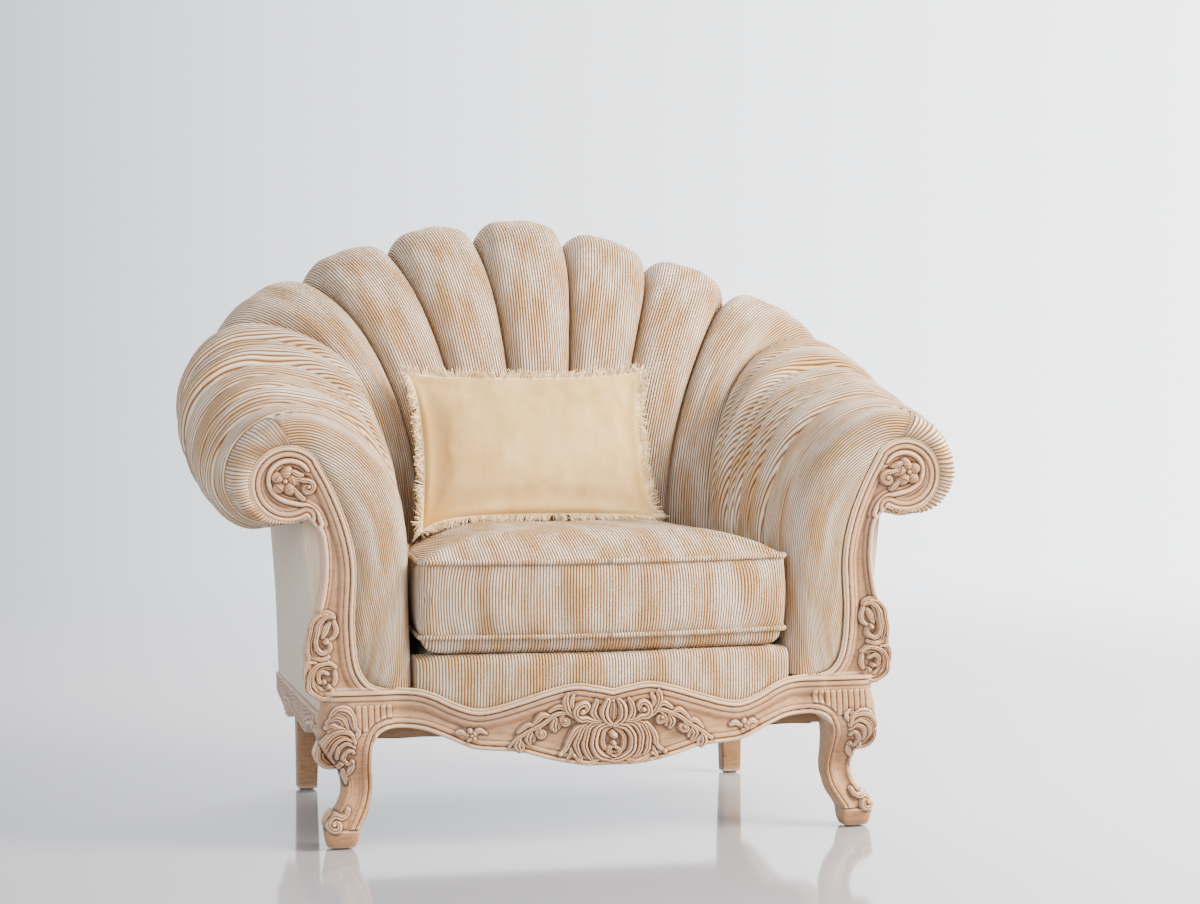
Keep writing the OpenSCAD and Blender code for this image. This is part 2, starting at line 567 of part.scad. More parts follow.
// Ends of the outer cover: sides, back, and the line where it tucks under the roll
function cover_loop(k, steps) =
  let (low = at(along(outer_plan, k), cover_low(k)), top = shell_point(k, 1) - [0, 0, 2 * gap])
  concat([for (i = [0:steps]) lerp(low, top, i / steps) - out3(outward(k), cover_t)],
    backwards([for (i = [0:steps]) lerp(low, top, i / steps)]));
function cover_low(k) = lerp(168, side_top_z + gap, smooth((abs(k) - 2.2) / 0.3));
module outside_back() color(plain_c) set_frame()
  skin_loops([for (i = [-3 * channel_steps:3 * channel_steps])
    cover_loop(min(max(i / channel_steps, 0.01 - corner_k), corner_k - 0.01), 5)]);
module outside_arm(side) color(plain_c) set_frame() left_or_right(side)
  skin_loops([for (i = [3 * channel_steps:6 * channel_steps])
    cover_loop(max(i / channel_steps, corner_k + 0.01), 5)]);

// Front end of the arm, from the profile round to the edge of the facing
pad_v = [0, 0.06, v_seat, 0.18, 0.24, 0.30, 0.36, 0.42, 0.48, 0.53, 0.58, v_crest, 0.65, 0.68, 0.71, 0.74, 0.77,
  v_side, 0.83, 0.86, 0.89, v_under, 0.965, 1];
facing_edge = [[45, block_top + 1], [73, 257], [90, 287], [96, 350], [93, 400], [93, 434], [97, 466], [104, 496],
  [115, 528], [arm_spread - 47, volute_c.y - 9]];
edge_turn = [165, -112];
function edge_point(i) = let (n = len(facing_edge))
  i < n ? from_arm(facing_edge)[i] - [gap, -gap]
  : let (m = len(pad_v) - n, a = lerp(edge_turn[0], edge_turn[1], (i - n + 1) / m),
      half_step = (edge_turn[0] - edge_turn[1]) / m / 2)
    volute_c + (volute_r + gap) / cos(half_step) * [cos(a), sin(a)];
lip = 9;
function front_at(p, y) = [p.x, y, p.y];
function front_loop(i) =
  let (p = profile_2d(pad_v[i]), q = edge_point(i), y = board_front - gap, in_lip = p + unit(q - p) * lip)
  [front_at(p, pad_plane - gap), front_at(p, lerp(y, pad_front, 0.3)),
   front_at(lerp(p, q, 0.12), lerp(y, pad_front, 0.8)), front_at(lerp(p, q, 0.5), pad_front),
   front_at(q, facing_front + 4), front_at(q, y), front_at(in_lip, y), front_at(in_lip, pad_plane - gap)];
module arm_front_pad(side) color(rib_c) set_frame() left_or_right(side)
  skin_rings([for (i = [0:len(pad_v) - 1]) front_loop(i)], hub = 6);

module front_border() color(rib_c) set_frame() intersection() {
  front_prism(concat([for (p = rail_top_line()) if (abs(p.x) < arm_x - 5) [p.x, p.y + gap]],
    [[arm_x - gap, block_top + gap], [arm_x - gap, deck_h], [-arm_x + gap, deck_h],
      [-arm_x + gap, block_top + gap]]), -90, 60);
  bowed(border_set, border_t, 180, deck_h + 10);
}

// Loose seat cushion
cushion_gap = 1.5;
cushion_front = -62;
cushion_side = [[arm_x - 14, -29], [arm_x - 4, -20], [arm_x - 2, -4], [arm_x - 7, side_y(0.026)],
  [arm_x - 14, side_y(0.164)], [arm_x - 24, side_y(0.305)], [arm_x - 40, side_y(0.429)],
  [arm_x - 66, seat_back - 50], [arm_x - 110, seat_back - 28], [110, seat_back - 24], [0, seat_back - 24]];
cushion_bow = [for (x = [0, 90, 180, 250]) [x, bow_y(x, cushion_front, bow_r)]];
function cushion_half() = [for (q = concat(cushion_bow, cushion_side)) [q.x - cushion_gap, q.y]];
function cushion_ring_plan() = let (h = spline([for (q = cushion_half()) [max(q.x, 0), q.y]], 2))
  concat(h, backwards(flip([for (i = [1:len(h) - 2]) h[i]])));
cushion_mid = [0, seat_back - 255];
function inset_plan(p, d) = [for (q = p) q - unit(q - cushion_mid) * d];
function cushion_ring(d, z) = [for (q = inset_plan(cushion_ring_plan(), d)) at(q, z)];
cord_r = piping_d / 2;
cushion_rings = [[70, cushion_z], [32, cushion_z + 3], [14, piping_low - 11], [piping_d + 2, piping_low],
  [piping_d + 0.5, piping_low + cord_r - 0.6], [4, piping_low + cord_r + 1.2], [3, (piping_low + piping_high) / 2],
  [4, piping_high - cord_r - 1.2], [piping_d + 0.5, piping_high - cord_r + 0.6], [piping_d + 2, piping_high],
  [16, piping_high + 0.25 * crown_h], [50, piping_high + 0.6 * crown_h], [100, piping_high + 0.88 * crown_h],
  [150, piping_high + crown_h]];
module seat_cushion() color(rib_c) set_frame() skin_rings([for (q = cushion_rings) cushion_ring(q.x, q.y)]);

// Faces round a closed row of equal rings
function torus_faces(n, m) = [for (i = [0:n - 1], j = [0:m - 1])
  let (a = i * m + j, b = i * m + (j + 1) % m, c = ((i + 1) % n) * m + j, d = ((i + 1) % n) * m + (j + 1) % m)
  each [[a, b, d], [a, d, c]]];
cord_sides = 6;
module piping_ring(z) {
  plan = inset_plan(cushion_ring_plan(), cord_r);
  n = len(plan);
  points = [for (i = [0:n - 1], j = [0:cord_sides - 1])
    let (t = unit(plan[(i + 1) % n] - plan[(i + n - 1) % n]), a = 360 * j / cord_sides)
    at(plan[i] + [t.y, -t.x] * cos(a) * cord_r, z + sin(a) * cord_r)];
  polyhedron(points, torus_faces(n, cord_sides), convexity = 6);
}
module cushion_piping() color(rib_c) set_frame() {
  piping_ring(piping_low);
  piping_ring(piping_high);
}

// Loose pillow, leaning on the channels
pillow_x = -35;
pillow_tilt = 20;
pillow_y = seat_back - 29 - 0.5 * pillow_t / cos(pillow_tilt);
pillow_z = piping_high + 23.4 + (pillow_h / 2 + fringe_w) * cos(pillow_tilt);
module pillow_place() translate([pillow_x, pillow_y, pillow_z]) rotate([-pillow_tilt, 0, 0]) children();
pillow_squareness = 0.42;
function full_power(c) = sign(c) * pow(abs(c), pillow_squareness);
function pillow_edge(a) = (1 - 0.05 * pow(cos(2 * a), 2))
  * [full_power(cos(a)) * pillow_w / 2, full_power(sin(a)) * pillow_h / 2];
pillow_points = 36;
pillow_bulge = [[0.25, 0.5], [0.5, 0.46], [0.72, 0.36], [0.88, 0.22], [0.97, 0.09]];
function pillow_ring(share, y) =
  [for (i = [0:pillow_points - 1]) front_at(pillow_edge(360 * i / pillow_points) * share, y)];
module lumbar_pillow() color(pillow_c) set_frame() pillow_place()
  skin_rings(concat([for (q = pillow_bulge) pillow_ring(q.x, q.y * pillow_t)], [pillow_ring(1, 0)],
    [for (q = backwards(pillow_bulge)) pillow_ring(q.x, -q.y * pillow_t)]));
module pillow_fringe() color(pillow_c) set_frame() pillow_place() {
  rim = 1 + 2 * fringe_w / pillow_w;
  inner = 1 + gap / 100;
  rings = [pillow_ring(inner, -2.5), pillow_ring(rim, -2), pillow_ring(rim, 2), pillow_ring(inner, 2.5)];
  polyhedron([for (r = rings, q = r) q], torus_faces(len(rings), pillow_points), convexity = 6);
}

// Carving, as the raised blanks that the carver works
cartouche_half = [[0, 8], [30, 10], [62, 18], [74, 26], [56, 54], [50, 76], [36, 98], [0, 102]];
module apron_cartouche() color(carving_c) set_frame()
  front_prism(mirrored([for (p = cartouche_half) rail_lift(p)]), bow_front - gap - cartouche_t, bow_front - gap);
flower_x = 222;
module apron_flowers() color(carving_c) set_frame() for (s = [-1, 1])
  translate([0, bow_front + bow_r, rail_lift([0, 48]).y]) rotate([0, 0, s * asin(flower_x / bow_r)])
    translate([0, -bow_r - gap, 0]) rotate([90, 0, 0]) cylinder(r = 11, h = carving_t, $fn = 24);
module knee_carving(side) color(carving_c) set_frame() left_or_right(side)
  translate([leg_x + 48, -33.3, 168]) rotate([90, 0, 0]) cylinder(r = 20, h = 6, $fn = 24);
carving_t = 9;
acanthus_blank = [[137, 262], [157, 268], [165, 300], [159, 330], [147, 352], [129, 340], [125, 300], [127, 275]];
module facing_acanthus(side) color(carving_c) set_frame() left_or_right(side)
  front_prism(from_arm(acanthus_blank), facing_front - gap - carving_t, facing_front - gap);
module scroll_rosette(side) color(carving_c) set_frame() left_or_right(side)
  translate([volute_c.x - 4, facing_front - gap, volute_c.y]) rotate([90, 0, 0])
    cylinder(r = 21, h = carving_t, $fn = 40);

front_rail();
front_leg(-1);  // front_leg_left
front_leg(1);  // front_leg_right
arm_facing(-1);  // arm_facing_left
arm_facing(1);  // arm_facing_right
side_rail(-1);  // side_rail_left
side_rail(1);  // side_rail_right
apron_cartouche();
apron_flowers();
knee_carving(-1);  // knee_carving_left
knee_carving(1);  // knee_carving_right
facing_acanthus(-1);  // facing_acanthus_left
facing_acanthus(1);  // facing_acanthus_right
scroll_rosette(-1);  // scroll_rosette_left
scroll_rosette(1);  // scroll_rosette_right
rear_leg(-1);  // rear_leg_left
rear_leg(1);  // rear_leg_right
back_rail();
spring_rail();
crest_rail();
back_tack_rail();
arm_board(-1);  // arm_board_left
arm_board(1);  // arm_board_right
arm_top_rail(-1);  // arm_top_rail_left
arm_top_rail(1);  // arm_top_rail_right
arm_tack_rail(-1);  // arm_tack_rail_left
arm_tack_rail(1);  // arm_tack_rail_right
corner_blocks();
corner_screws();
facing_screws();
seat_springs();
spring_clips();
back_webbing();
deck_pad();
dust_cover();
foot_glides();
inside_back();
inside_arm(-1);  // inside_arm_left
inside_arm(1);  // inside_arm_right
arm_front_pad(-1);  // arm_front_pad_left
arm_front_pad(1);  // arm_front_pad_right
outside_back();
outside_arm(-1);  // outside_arm_left
outside_arm(1);  // outside_arm_right
front_border();
seat_cushion();
cushion_piping();
lumbar_pillow();
pillow_fringe();
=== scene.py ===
"""Shell-backed armchair: ribbed chenille upholstery and carved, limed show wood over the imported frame."""

import math

import bmesh
import bpy
import numpy as np
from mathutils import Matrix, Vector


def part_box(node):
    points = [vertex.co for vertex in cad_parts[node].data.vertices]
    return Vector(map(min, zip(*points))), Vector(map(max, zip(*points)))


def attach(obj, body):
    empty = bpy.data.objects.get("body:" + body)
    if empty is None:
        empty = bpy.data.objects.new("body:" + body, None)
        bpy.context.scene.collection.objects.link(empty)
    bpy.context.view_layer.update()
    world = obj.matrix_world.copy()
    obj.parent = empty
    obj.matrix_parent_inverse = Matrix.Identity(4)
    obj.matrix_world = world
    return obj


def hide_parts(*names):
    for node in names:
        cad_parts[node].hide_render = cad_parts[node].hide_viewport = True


bl_info = {
    "name": "Shell Armchair",
    "version": (1, 0, 0),
    "blender": (4, 5, 0),
    "location": "3D Viewport > Sidebar > Armchair",
    "description": "Dresses a carved armchair in ribbed chenille and limed wood",
    "category": "Object",
}

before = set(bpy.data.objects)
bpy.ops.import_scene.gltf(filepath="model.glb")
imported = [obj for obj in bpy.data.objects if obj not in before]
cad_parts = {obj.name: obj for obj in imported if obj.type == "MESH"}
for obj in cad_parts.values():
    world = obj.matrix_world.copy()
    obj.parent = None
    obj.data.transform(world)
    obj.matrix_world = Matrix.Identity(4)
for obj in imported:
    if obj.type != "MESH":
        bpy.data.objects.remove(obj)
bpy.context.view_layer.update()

# The front glides reach this far in front of the line that every depth below counts from
GLIDE_REACH = 0.012
FEET_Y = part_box("foot_glides")[0].y + GLIDE_REACH
MM = 0.001

# Faces that meet at more than this many degrees keep a hard edge
HARD_EDGE = 50


def linear(code):
    """A colour's linear values from its sRGB hex code."""
    parts = [int(code[i : i + 2], 16) / 255 for i in (1, 3, 5)]
    return tuple(p / 12.92 if p <= 0.04045 else ((p + 0.055) / 1.055) ** 2.4 for p in parts)


def colour(name, description, code):
    return bpy.props.FloatVectorProperty(
        name=name, description=description, subtype="COLOR", size=3, min=0, max=1, default=linear(code)
    )


def amount(name, description, value, most, **settings):
    return bpy.props.FloatProperty(
        name=name, description=description, default=value, min=0, soft_max=most, **settings
    )


def length(name, description, metres):
    return amount(name, description, metres, 4 * metres, unit="LENGTH", precision=4)


class ChairUpholstery(bpy.types.PropertyGroup):
    """Sizes and colours of the fabrics and their padding."""

    rib_pitch: length("Rib Spacing", "Distance from one chenille rib to the next", 0.0048)
    lobe_depth: length("Lobe Depth", "Rise of a back channel above the seams beside it", 0.037)
    seam_depth: length("Seam Depth", "Extra depth of the sewn seams between channels", 0.008)
    crown: length("Seat Crown", "Rise of the seat cushion above its upper piping", 0.036)
    cord: length("Piping Cord", "Thickness of the piping on the seat cushion", 0.008)
    fringe: length("Fringe Length", "Length of the brush fringe round the pillow", 0.021)
    pleats: bpy.props.IntProperty(
        name="Scroll Pleats", description="Pleats gathered round each arm scroll", default=36, min=20, max=90
    )
    ridge: colour("Rib Ridge", "Chenille pile on top of the ribs", "#FFF4E2")
    # The valley colour is the tan ground cloth, made darker still as painted shade between the ribs
    valley: colour("Rib Valley", "Ground cloth between the ribs", "#8E5F34")
    brushed: colour("Brushed Pile", "Pile that lies the other way", "#DCBD90")
    plain: colour("Outside Cloth", "Plain chenille on the outside of the chair", "#CDBBA2")
    pillow: colour("Pillow Velvet", "Cotton velvet of the loose pillow", "#D2B279")
    yarn: colour("Fringe Yarn", "Cut cotton yarn of the fringe", "#F2DDB4")


class ChairWood(bpy.types.PropertyGroup):
    """Sizes and colours of the carved show wood."""

    bead: length("Bead Height", "Rise of the mouldings above the wood's face", 0.0034)
    carving: length("Carving Height", "Rise of the carved leaves and scrolls", 0.011)
    limed: colour("Limed Wood", "Bleached and limed face of the wood", "#AB815B")
    # The ridge colour is lime on the ridges and also a painted highlight; the hollow colour is brown glaze
    # and also painted shade in the hollows
    ridge: colour("Worn Ridge", "Lime left on the ridges of the carving", "#DCC0A6")
    hollow: colour("Glazed Hollow", "Brown glaze left in the hollows", "#40291C")
    beech: colour("Bare Beech", "Unfinished beech of the inner frame", "#8E6F4F")


class ChairStage(bpy.types.PropertyGroup):
    """Floor and light of the studio."""

    floor: colour("Floor", "Polished pale floor", "#A4A4A9")
    backdrop: colour("Backdrop", "Pale air behind the chair", "#E4E7EC")
    key_power: amount("Key Power", "Power of the large soft light", 630, 900, unit="POWER")
    air_light: amount("Air Light", "Strength of the light from all round", 0.92, 3)
    air_seen: amount("Air Brightness", "Brightness of the air behind the chair and in the floor", 2.7, 5)


# Measures of the chair in millimetres, X to the right, Y back from the middle of the front feet, Z up
SEAT_HALF = 303
BACK_DEPTH = 612
ARM_H = 686
CREST_H = 951
SEAT_BASE = 250
SEAT_Z = 450
PAD_PLANE = 45
FACING_FRONT = -12
FACING_BACK = 30.2
PAD_FRONT = -17
BOW_FRONT = -65
BOW_R = 1140
RAIL_T = 32
BLOCK_TOP = 246
RAIL_LOW = 124
LEG_X = SEAT_HALF + 69
FRAME_X = SEAT_HALF + 99
VOLUTE = np.array([500.0, 567.0])
VOLUTE_R = 58
LAST_K = 6.0
BACK_END_K = 3.5
PIPING_LOW = 326
PIPING_HIGH = 442
CUSHION_Z = 298.4
DECK_H = 298
SEAT_BACK = BACK_DEPTH - 207

BASE_PLAN = np.array([
    [0, 405], [42, 405], [84, 405], [126, 405], [168, 404], [214, 400], [254, 384], [276, 342], [284, 285],
    [288, 225], [293, 165], [298, 105], [303, 45]], float)
CREST_PLAN = np.array([
    [0, 612], [80, 612], [155, 612], [232, 611], [306, 605], [377, 590], [438, 554], [479, 495], [494, 416],
    [496, 330], [492, 237], [485, 141], [478, 45]], float)
CORE_PLAN = np.array([
    [0, 552], [70, 552], [140, 552], [205, 552], [262, 550], [312, 540], [356, 510], [388, 450], [401, 370],
    [405, 290], [407, 210], [409, 125], [410, 45]], float)
OUTER_PLAN = np.array([
    [0, 604], [80, 604], [155, 604], [232, 604], [306, 604], [370, 604], [424, 594], [433, 535], [436, 450],
    [438, 350], [440, 245], [442, 140], [444, 45]], float)


# Curves


def lerp(a, b, t):
    return a + (b - a) * t


def stack(*parts):
    """Values side by side on a new last axis, each stretched to the shape of the others."""
    return np.stack(np.broadcast_arrays(*parts), -1)


def grid(a, b):
    return np.meshgrid(a, b, indexing="ij")


def smooth(t):
    t = np.clip(t, 0, 1)
    return t * t * (3 - 2 * t)


def unit(v):
    return v / np.maximum(np.linalg.norm(v, axis=-1, keepdims=True), 1e-9)


def catmull(a, b, c, d, t):
    return 0.5 * (2 * b + (c - a) * t + (2 * a - 5 * b + 4 * c - d) * t**2 + (3 * b - a - 3 * c + d) * t**3)


def spline(points, steps):
    """A smooth open line through the points, with a number of steps between each two."""
    p = np.asarray(points, float)
    line = []
    for i in range(len(p) - 1):
        a, d = p[max(i - 1, 0)], p[min(i + 2, len(p) - 1)]
        line += [catmull(a, p[i], p[i + 1], d, j / steps) for j in range(steps)]
    return np.array(line + [p[-1]])


def along(plan, k):
    """Places on a plan at the channel numbers k, counted from the middle of the back."""
    k = np.asarray(k, float)
    p = np.vstack([plan[1] * [-1, 1], plan, 2 * plan[-1] - plan[-2]])
    u = np.abs(k) * 2
    i = np.minimum(np.floor(u).astype(int), len(plan) - 2)
    q = catmull(p[i], p[i + 1], p[i + 2], p[i + 3], (u - i)[..., None])
    return q * stack(np.where(k < 0, -1, 1), 1)


def run(points):
    """Distance travelled along a row of points."""
    steps = np.linalg.norm(np.diff(points, axis=0), axis=-1)
    return np.concatenate([np.zeros((1,) + steps.shape[1:]), np.cumsum(steps, 0)])


def evenly(points, spacing):
    """The same line with points at about an equal spacing."""
    p = np.asarray(points, float)
    s = run(p)
    t = np.linspace(0, s[-1], max(int(s[-1] / spacing), 2) + 1)
    return stack(*(np.interp(t, s, c) for c in p.T))


# Blender pieces


def linked(name, data):
    """A new object in the scene."""
    obj = bpy.data.objects.new(name, data)
    bpy.context.scene.collection.objects.link(obj)
    return obj


def mend_mesh(data, weld):
    """Joins points closer than weld metres, turns every face outward and keeps hard edges hard."""
    mesh = bmesh.new()
    mesh.from_mesh(data)
    if weld:
        bmesh.ops.remove_doubles(mesh, verts=mesh.verts, dist=weld)
    bmesh.ops.recalc_face_normals(mesh, faces=mesh.faces)
    mesh.to_mesh(data)
    mesh.free()
    data.set_sharp_from_angle(angle=math.radians(HARD_EDGE))


def piece(name, points, faces, ribs=None, weld=0.0):
    """A smooth mesh object from points in millimetres. ribs is the cloth's place at each face's corners."""
    mesh = bpy.data.meshes.new(name)
    places = np.asarray(points, float) * MM + [0, FEET_Y, 0]
    mesh.from_pydata(places.tolist(), [], [list(map(int, f)) for f in faces])
    mesh.update()
    if ribs is not None:
        layer = mesh.uv_layers.new(name="ribs")
        layer.data.foreach_set("uv", np.asarray(ribs, np.float32).ravel())
    mesh.shade_smooth()
    mend_mesh(mesh, weld)
    return linked(name, mesh)


def read(data, key, width=3, kind=float):
    """One row of values for each item of a mesh's data."""
    values = np.zeros(len(data) * width, kind)
    data.foreach_get(key, values)
    return values.reshape(-1, width)


def places(obj):
    """Vertices in millimetres from the feet."""
    return (read(obj.data.vertices, "co") - [0, FEET_Y, 0]) / MM


def move_vertices(obj, co):
    obj.data.vertices.foreach_set("co", co.ravel())
    obj.data.update()


def store(obj, name, values):
    """Keeps one value for each vertex, under a name that a material reads."""
    attributes = obj.data.attributes
    kept = attributes.get(name) or attributes.new(name, "FLOAT", "POINT")
    kept.data.foreach_set("value", values.astype(np.float32))


def relief_marks(obj):
    return read(obj.data.attributes["relief"].data, "value", 1)[:, 0]


# The slots that aren't called after their finish
SLOTS = {
    # The darker copy of the limed wood on the rear legs is painted shade
    "bias_cut_chenille": "ribbed_chenille", "limed_wood_in_painted_shade": "limed_wood", "black_cambric": "dust_cloth",
    "cotton_velvet": "pillow_velvet", "cut_cotton_yarn": "pillow_velvet",
    "cotton_deck_ticking": "deck_felt", "jute_webbing_cloth": "jute_webbing",
}


def finish_piece(obj, finish, *nodes, body="chair", slot=None):
    """Gives a piece its material, hides the nodes it stands for and attaches it to the body it rides."""
    obj.data.materials.append(materials()[finish])
    if nodes:
        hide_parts(*nodes)
    slot or SLOTS.get(finish, finish)
    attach(obj, body)
    return obj


def grid_faces(rows, cols, wrap=False):
    """Faces of a grid whose points are stored row by row, closed along its columns where wrap is set."""
    i, j = grid(np.arange(rows - 1), np.arange(cols if wrap else cols - 1))
    n = (j + 1) % cols
    return stack(i * cols + j, i * cols + n, (i + 1) * cols + n, (i + 1) * cols + j).reshape(-1, 4)


def ring_faces(rows, cols):
    """Faces of a solid through equal rings, with a cap at each end."""
    last = (rows - 1) * cols
    caps = [list(range(cols))[::-1], list(range(last, last + cols))]
    return grid_faces(rows, cols, wrap=True).tolist() + caps


def ribbed_solid(name, rings, cloth, side=1, ends=None):
    """A solid through rings, with the cloth's place at each of their points and, as ends, on the caps."""
    m, n = rings.shape[:2]
    faces = grid_faces(m, n, wrap=True)
    corners = cloth[faces // n, faces % n].reshape(-1, 2)
    corners = np.vstack([corners, np.zeros((2 * n, 2)) if ends is None else ends])
    return piece(name, rings.reshape(-1, 3) * [side, 1, 1], ring_faces(m, n), corners * MM)


def loop_solid(loops):
    """Points and faces of a closed solid through equal loops, whose halves face each other at both ends."""
    m, n = loops.shape[:2]
    faces = grid_faces(m, n, wrap=True).tolist()
    last = (m - 1) * n
    for j in range(n // 2 - 1):
        quad = [j, j + 1, n - 2 - j, n - 1 - j]
        faces.append(quad[::-1])
        faces.append([last + q for q in quad])
    return loops.reshape(-1, 3), faces


def tube(line, radius, sides=10, closed=False):
    """Points, faces and cloth places of a cord along a line."""
    p = np.asarray(line, float)
    t = unit(np.roll(p, -1, 0) - np.roll(p, 1, 0) if closed else np.gradient(p, axis=0))
    across = unit(np.cross(t, [0, -1, 0] if abs(t[:, 1]).mean() < 0.5 else [0, 0, 1]))
    up = np.cross(across, t)
    a = (np.arange(sides) * 2 * math.pi / sides)[:, None]
    points = (p[:, None] + radius * (across[:, None] * np.cos(a) + up[:, None] * np.sin(a))).reshape(-1, 3)
    if closed:
        faces = (grid_faces(len(p) + 1, sides, wrap=True) % len(points)).tolist()
    else:
        faces = ring_faces(len(p), sides)
    cloth = stack(np.repeat(run(p), sides), np.tile(np.arange(sides) * radius, len(p)))
    return points, faces, np.vstack([cloth[f] for f in faces]) * MM


def joined(parts):
    """One set of points, faces and corners from several."""
    starts = np.cumsum([0] + [len(points) for points, _, _ in parts])
    faces = [[start + v for v in face] for start, (_, f, _) in zip(starts, parts) for face in f]
    return np.vstack([p for p, _, _ in parts]), faces, np.vstack([c for _, _, c in parts])


# Upholstered shell, as in the frame: k counts channels from the middle, v runs from the seat over the crest


V_SEAT = 0.12
V_CREST = 0.62
V_SIDE = 0.80
V_UNDER = 0.93


# Rows of points over the core that closes the shell
CORE_ROWS = 24


def crest_z(k):
    """Height of the seams on the crest. The hand-stuffed channels stand a little higher on the left."""
    k = np.asarray(k, float)
    even = ARM_H + (CREST_H - ARM_H) * np.abs(np.cos(np.radians(15 * np.minimum(np.abs(k), LAST_K)))) ** 1.85
    uneven = 12 * smooth(np.abs(k) / 1.6) * (1 - smooth((np.abs(k) - 3.4) / 1.8))
    return even - np.sign(k) * uneven


def arm_share(k):
    return smooth((np.abs(k) - 2.2) / 2.4)


def outward(k):
    t = along(CREST_PLAN, np.minimum(k + 0.05, LAST_K)) - along(CREST_PLAN, np.maximum(k - 0.05, -LAST_K))
    n = unit(stack(-t[..., 1], t[..., 0]))
    side = stack(np.sign(k), np.zeros_like(k))
    return unit(lerp(n, side, smooth(np.abs(k) - 5)[..., None]))


def tuck_in(k):
    return lerp(42, -16, smooth((np.abs(k) - 2) / 1.6)) + 10 * smooth(np.abs(k) - 5)


def loop_points(k, v, plan, start_z, lean, top_z, r_out, r_drop, r_in, r_fall, tuck, tuck_z):
    """Section of the shell or of its core at each k and v."""

    def col(x):
        return np.broadcast_to(x, k.shape)[..., None]

    def at(p, z):
        return np.concatenate([p, col(z)], -1)

    def quarter(low, high):
        a = col(math.pi / 2 * (v - low) / (high - low))
        return np.sin(a), 1 - np.cos(a)

    c, n, b = along(CREST_PLAN, k), outward(k), along(plan, k)
    out, rise = at(n, 0), np.array([0, 0, 1.0])
    start = at(b + n * col(lean), start_z)
    crest = at(c, top_z)
    side = crest + out * col(r_out) - rise * col(r_drop)
    under = side - out * col(r_in) - rise * col(r_fall)
    t = col((v - V_SEAT) / (V_CREST - V_SEAT))
    p1 = start + rise * col(0.55 * (top_z - start_z))
    p2 = crest - out * col(0.55 * np.linalg.norm(c - b, axis=-1))
    face = (1 - t) ** 3 * start + 3 * (1 - t) ** 2 * t * p1 + 3 * (1 - t) * t**2 * p2 + t**3 * crest
    low = lerp(at(b, SEAT_BASE), start, col(v / V_SEAT))
    far, drop = quarter(V_CREST, V_SIDE)
    over = crest + out * col(r_out) * far - rise * col(r_drop) * drop
    far, drop = quarter(V_SIDE, V_UNDER)
    below = side - out * col(r_in) * drop - rise * col(r_fall) * far
    back = lerp(under, at(c + n * col(tuck), tuck_z), col((v - V_UNDER) / (1 - V_UNDER)))
    steps = [col(v) <= level for level in (V_SEAT, V_CREST, V_SIDE, V_UNDER)]
    return np.select(steps, [low, face, over, below], back)


def shell_points(k, v):
    a, z = arm_share(k), crest_z(k)
    r_out = lerp(60, 110, a) + 12 * smooth(np.abs(k) - 5)
    return loop_points(k, v, BASE_PLAN, SEAT_Z, 0, z, r_out, lerp(72, 115, a), lerp(14, 82, a),
                       lerp(40, 77, a), tuck_in(k), z - lerp(118, 182, a))


def core_points(k, v):
    a, z = arm_share(k), crest_z(k)
    return loop_points(k, v, CORE_PLAN, lerp(700, z - 130, a), lerp(40, 6, a), z - 48, lerp(24, 66, a),
                       lerp(42, 70, a), lerp(6, 37, a), lerp(24, 30, a), tuck_in(k) - lerp(9, 6, a),
                       z - lerp(112, 166, a))


def shell_normal(k, v):
    e = 0.01
    k0, k1 = np.maximum(k - e, -LAST_K), np.minimum(k + e, LAST_K)
    v0, v1 = np.maximum(v - e, 0), np.minimum(v + e, 1)
    across, up = shell_points(k1, v) - shell_points(k0, v), shell_points(k, v1) - shell_points(k, v0)
    return unit(np.cross(across, up))


def channel_rise(k, v, depth, seam):
    """Rise of the padding above the plain shell: round lobes with a sewn seam between each two."""
    a = np.abs(k)
    d = np.abs(a - np.round(a)) * 2
    groups = [a < 0.5, a < 3.5, a < 4.5, a < 5.5]
    left, right = (np.select(groups, values) for values in ([1, 0.85, 0.6, 0.25], [1, 0.8, 0.42, 0.2]))
    strength = np.where(k < 0, left, right)
    fade = np.where(v < V_CREST, lerp(0.45, 1, smooth(v / 0.42)), 1 - smooth((v - V_CREST) / (1 - V_CREST)))
    lobe = depth * strength * (1 - np.minimum(d, 1) ** 2.3) ** 0.55
    on_crest = smooth((v - 0.42) / 0.14) * (1 - smooth((v - 0.8) / 0.15))
    near_seam = np.exp(-(((1 - d) / 0.08) ** 2)) + 1.1 * on_crest * np.exp(-(((1 - d) / 0.22) ** 2))
    return (lobe - seam * np.minimum(strength * 1.3, 1) * near_seam * (a < 5.6)) * fade


def fold(k, v, at_k, lean, v0, v1, width, depth):
    """A soft lens-shaped crease in the cloth, along v."""
    middle = (v0 + v1) / 2
    off = (k - at_k - lean * (v - middle)) / width
    ends = np.clip(1 - ((v - middle) / ((v1 - v0) / 2)) ** 2, 0, 1)
    lips = 0.5 * np.exp(-(((off - 2.6) / 1.5) ** 2)) + 0.25 * np.exp(-(((off + 2.8) / 1.6) ** 2))
    return depth * (lips - np.exp(-np.abs(off) ** 1.5)) * ends


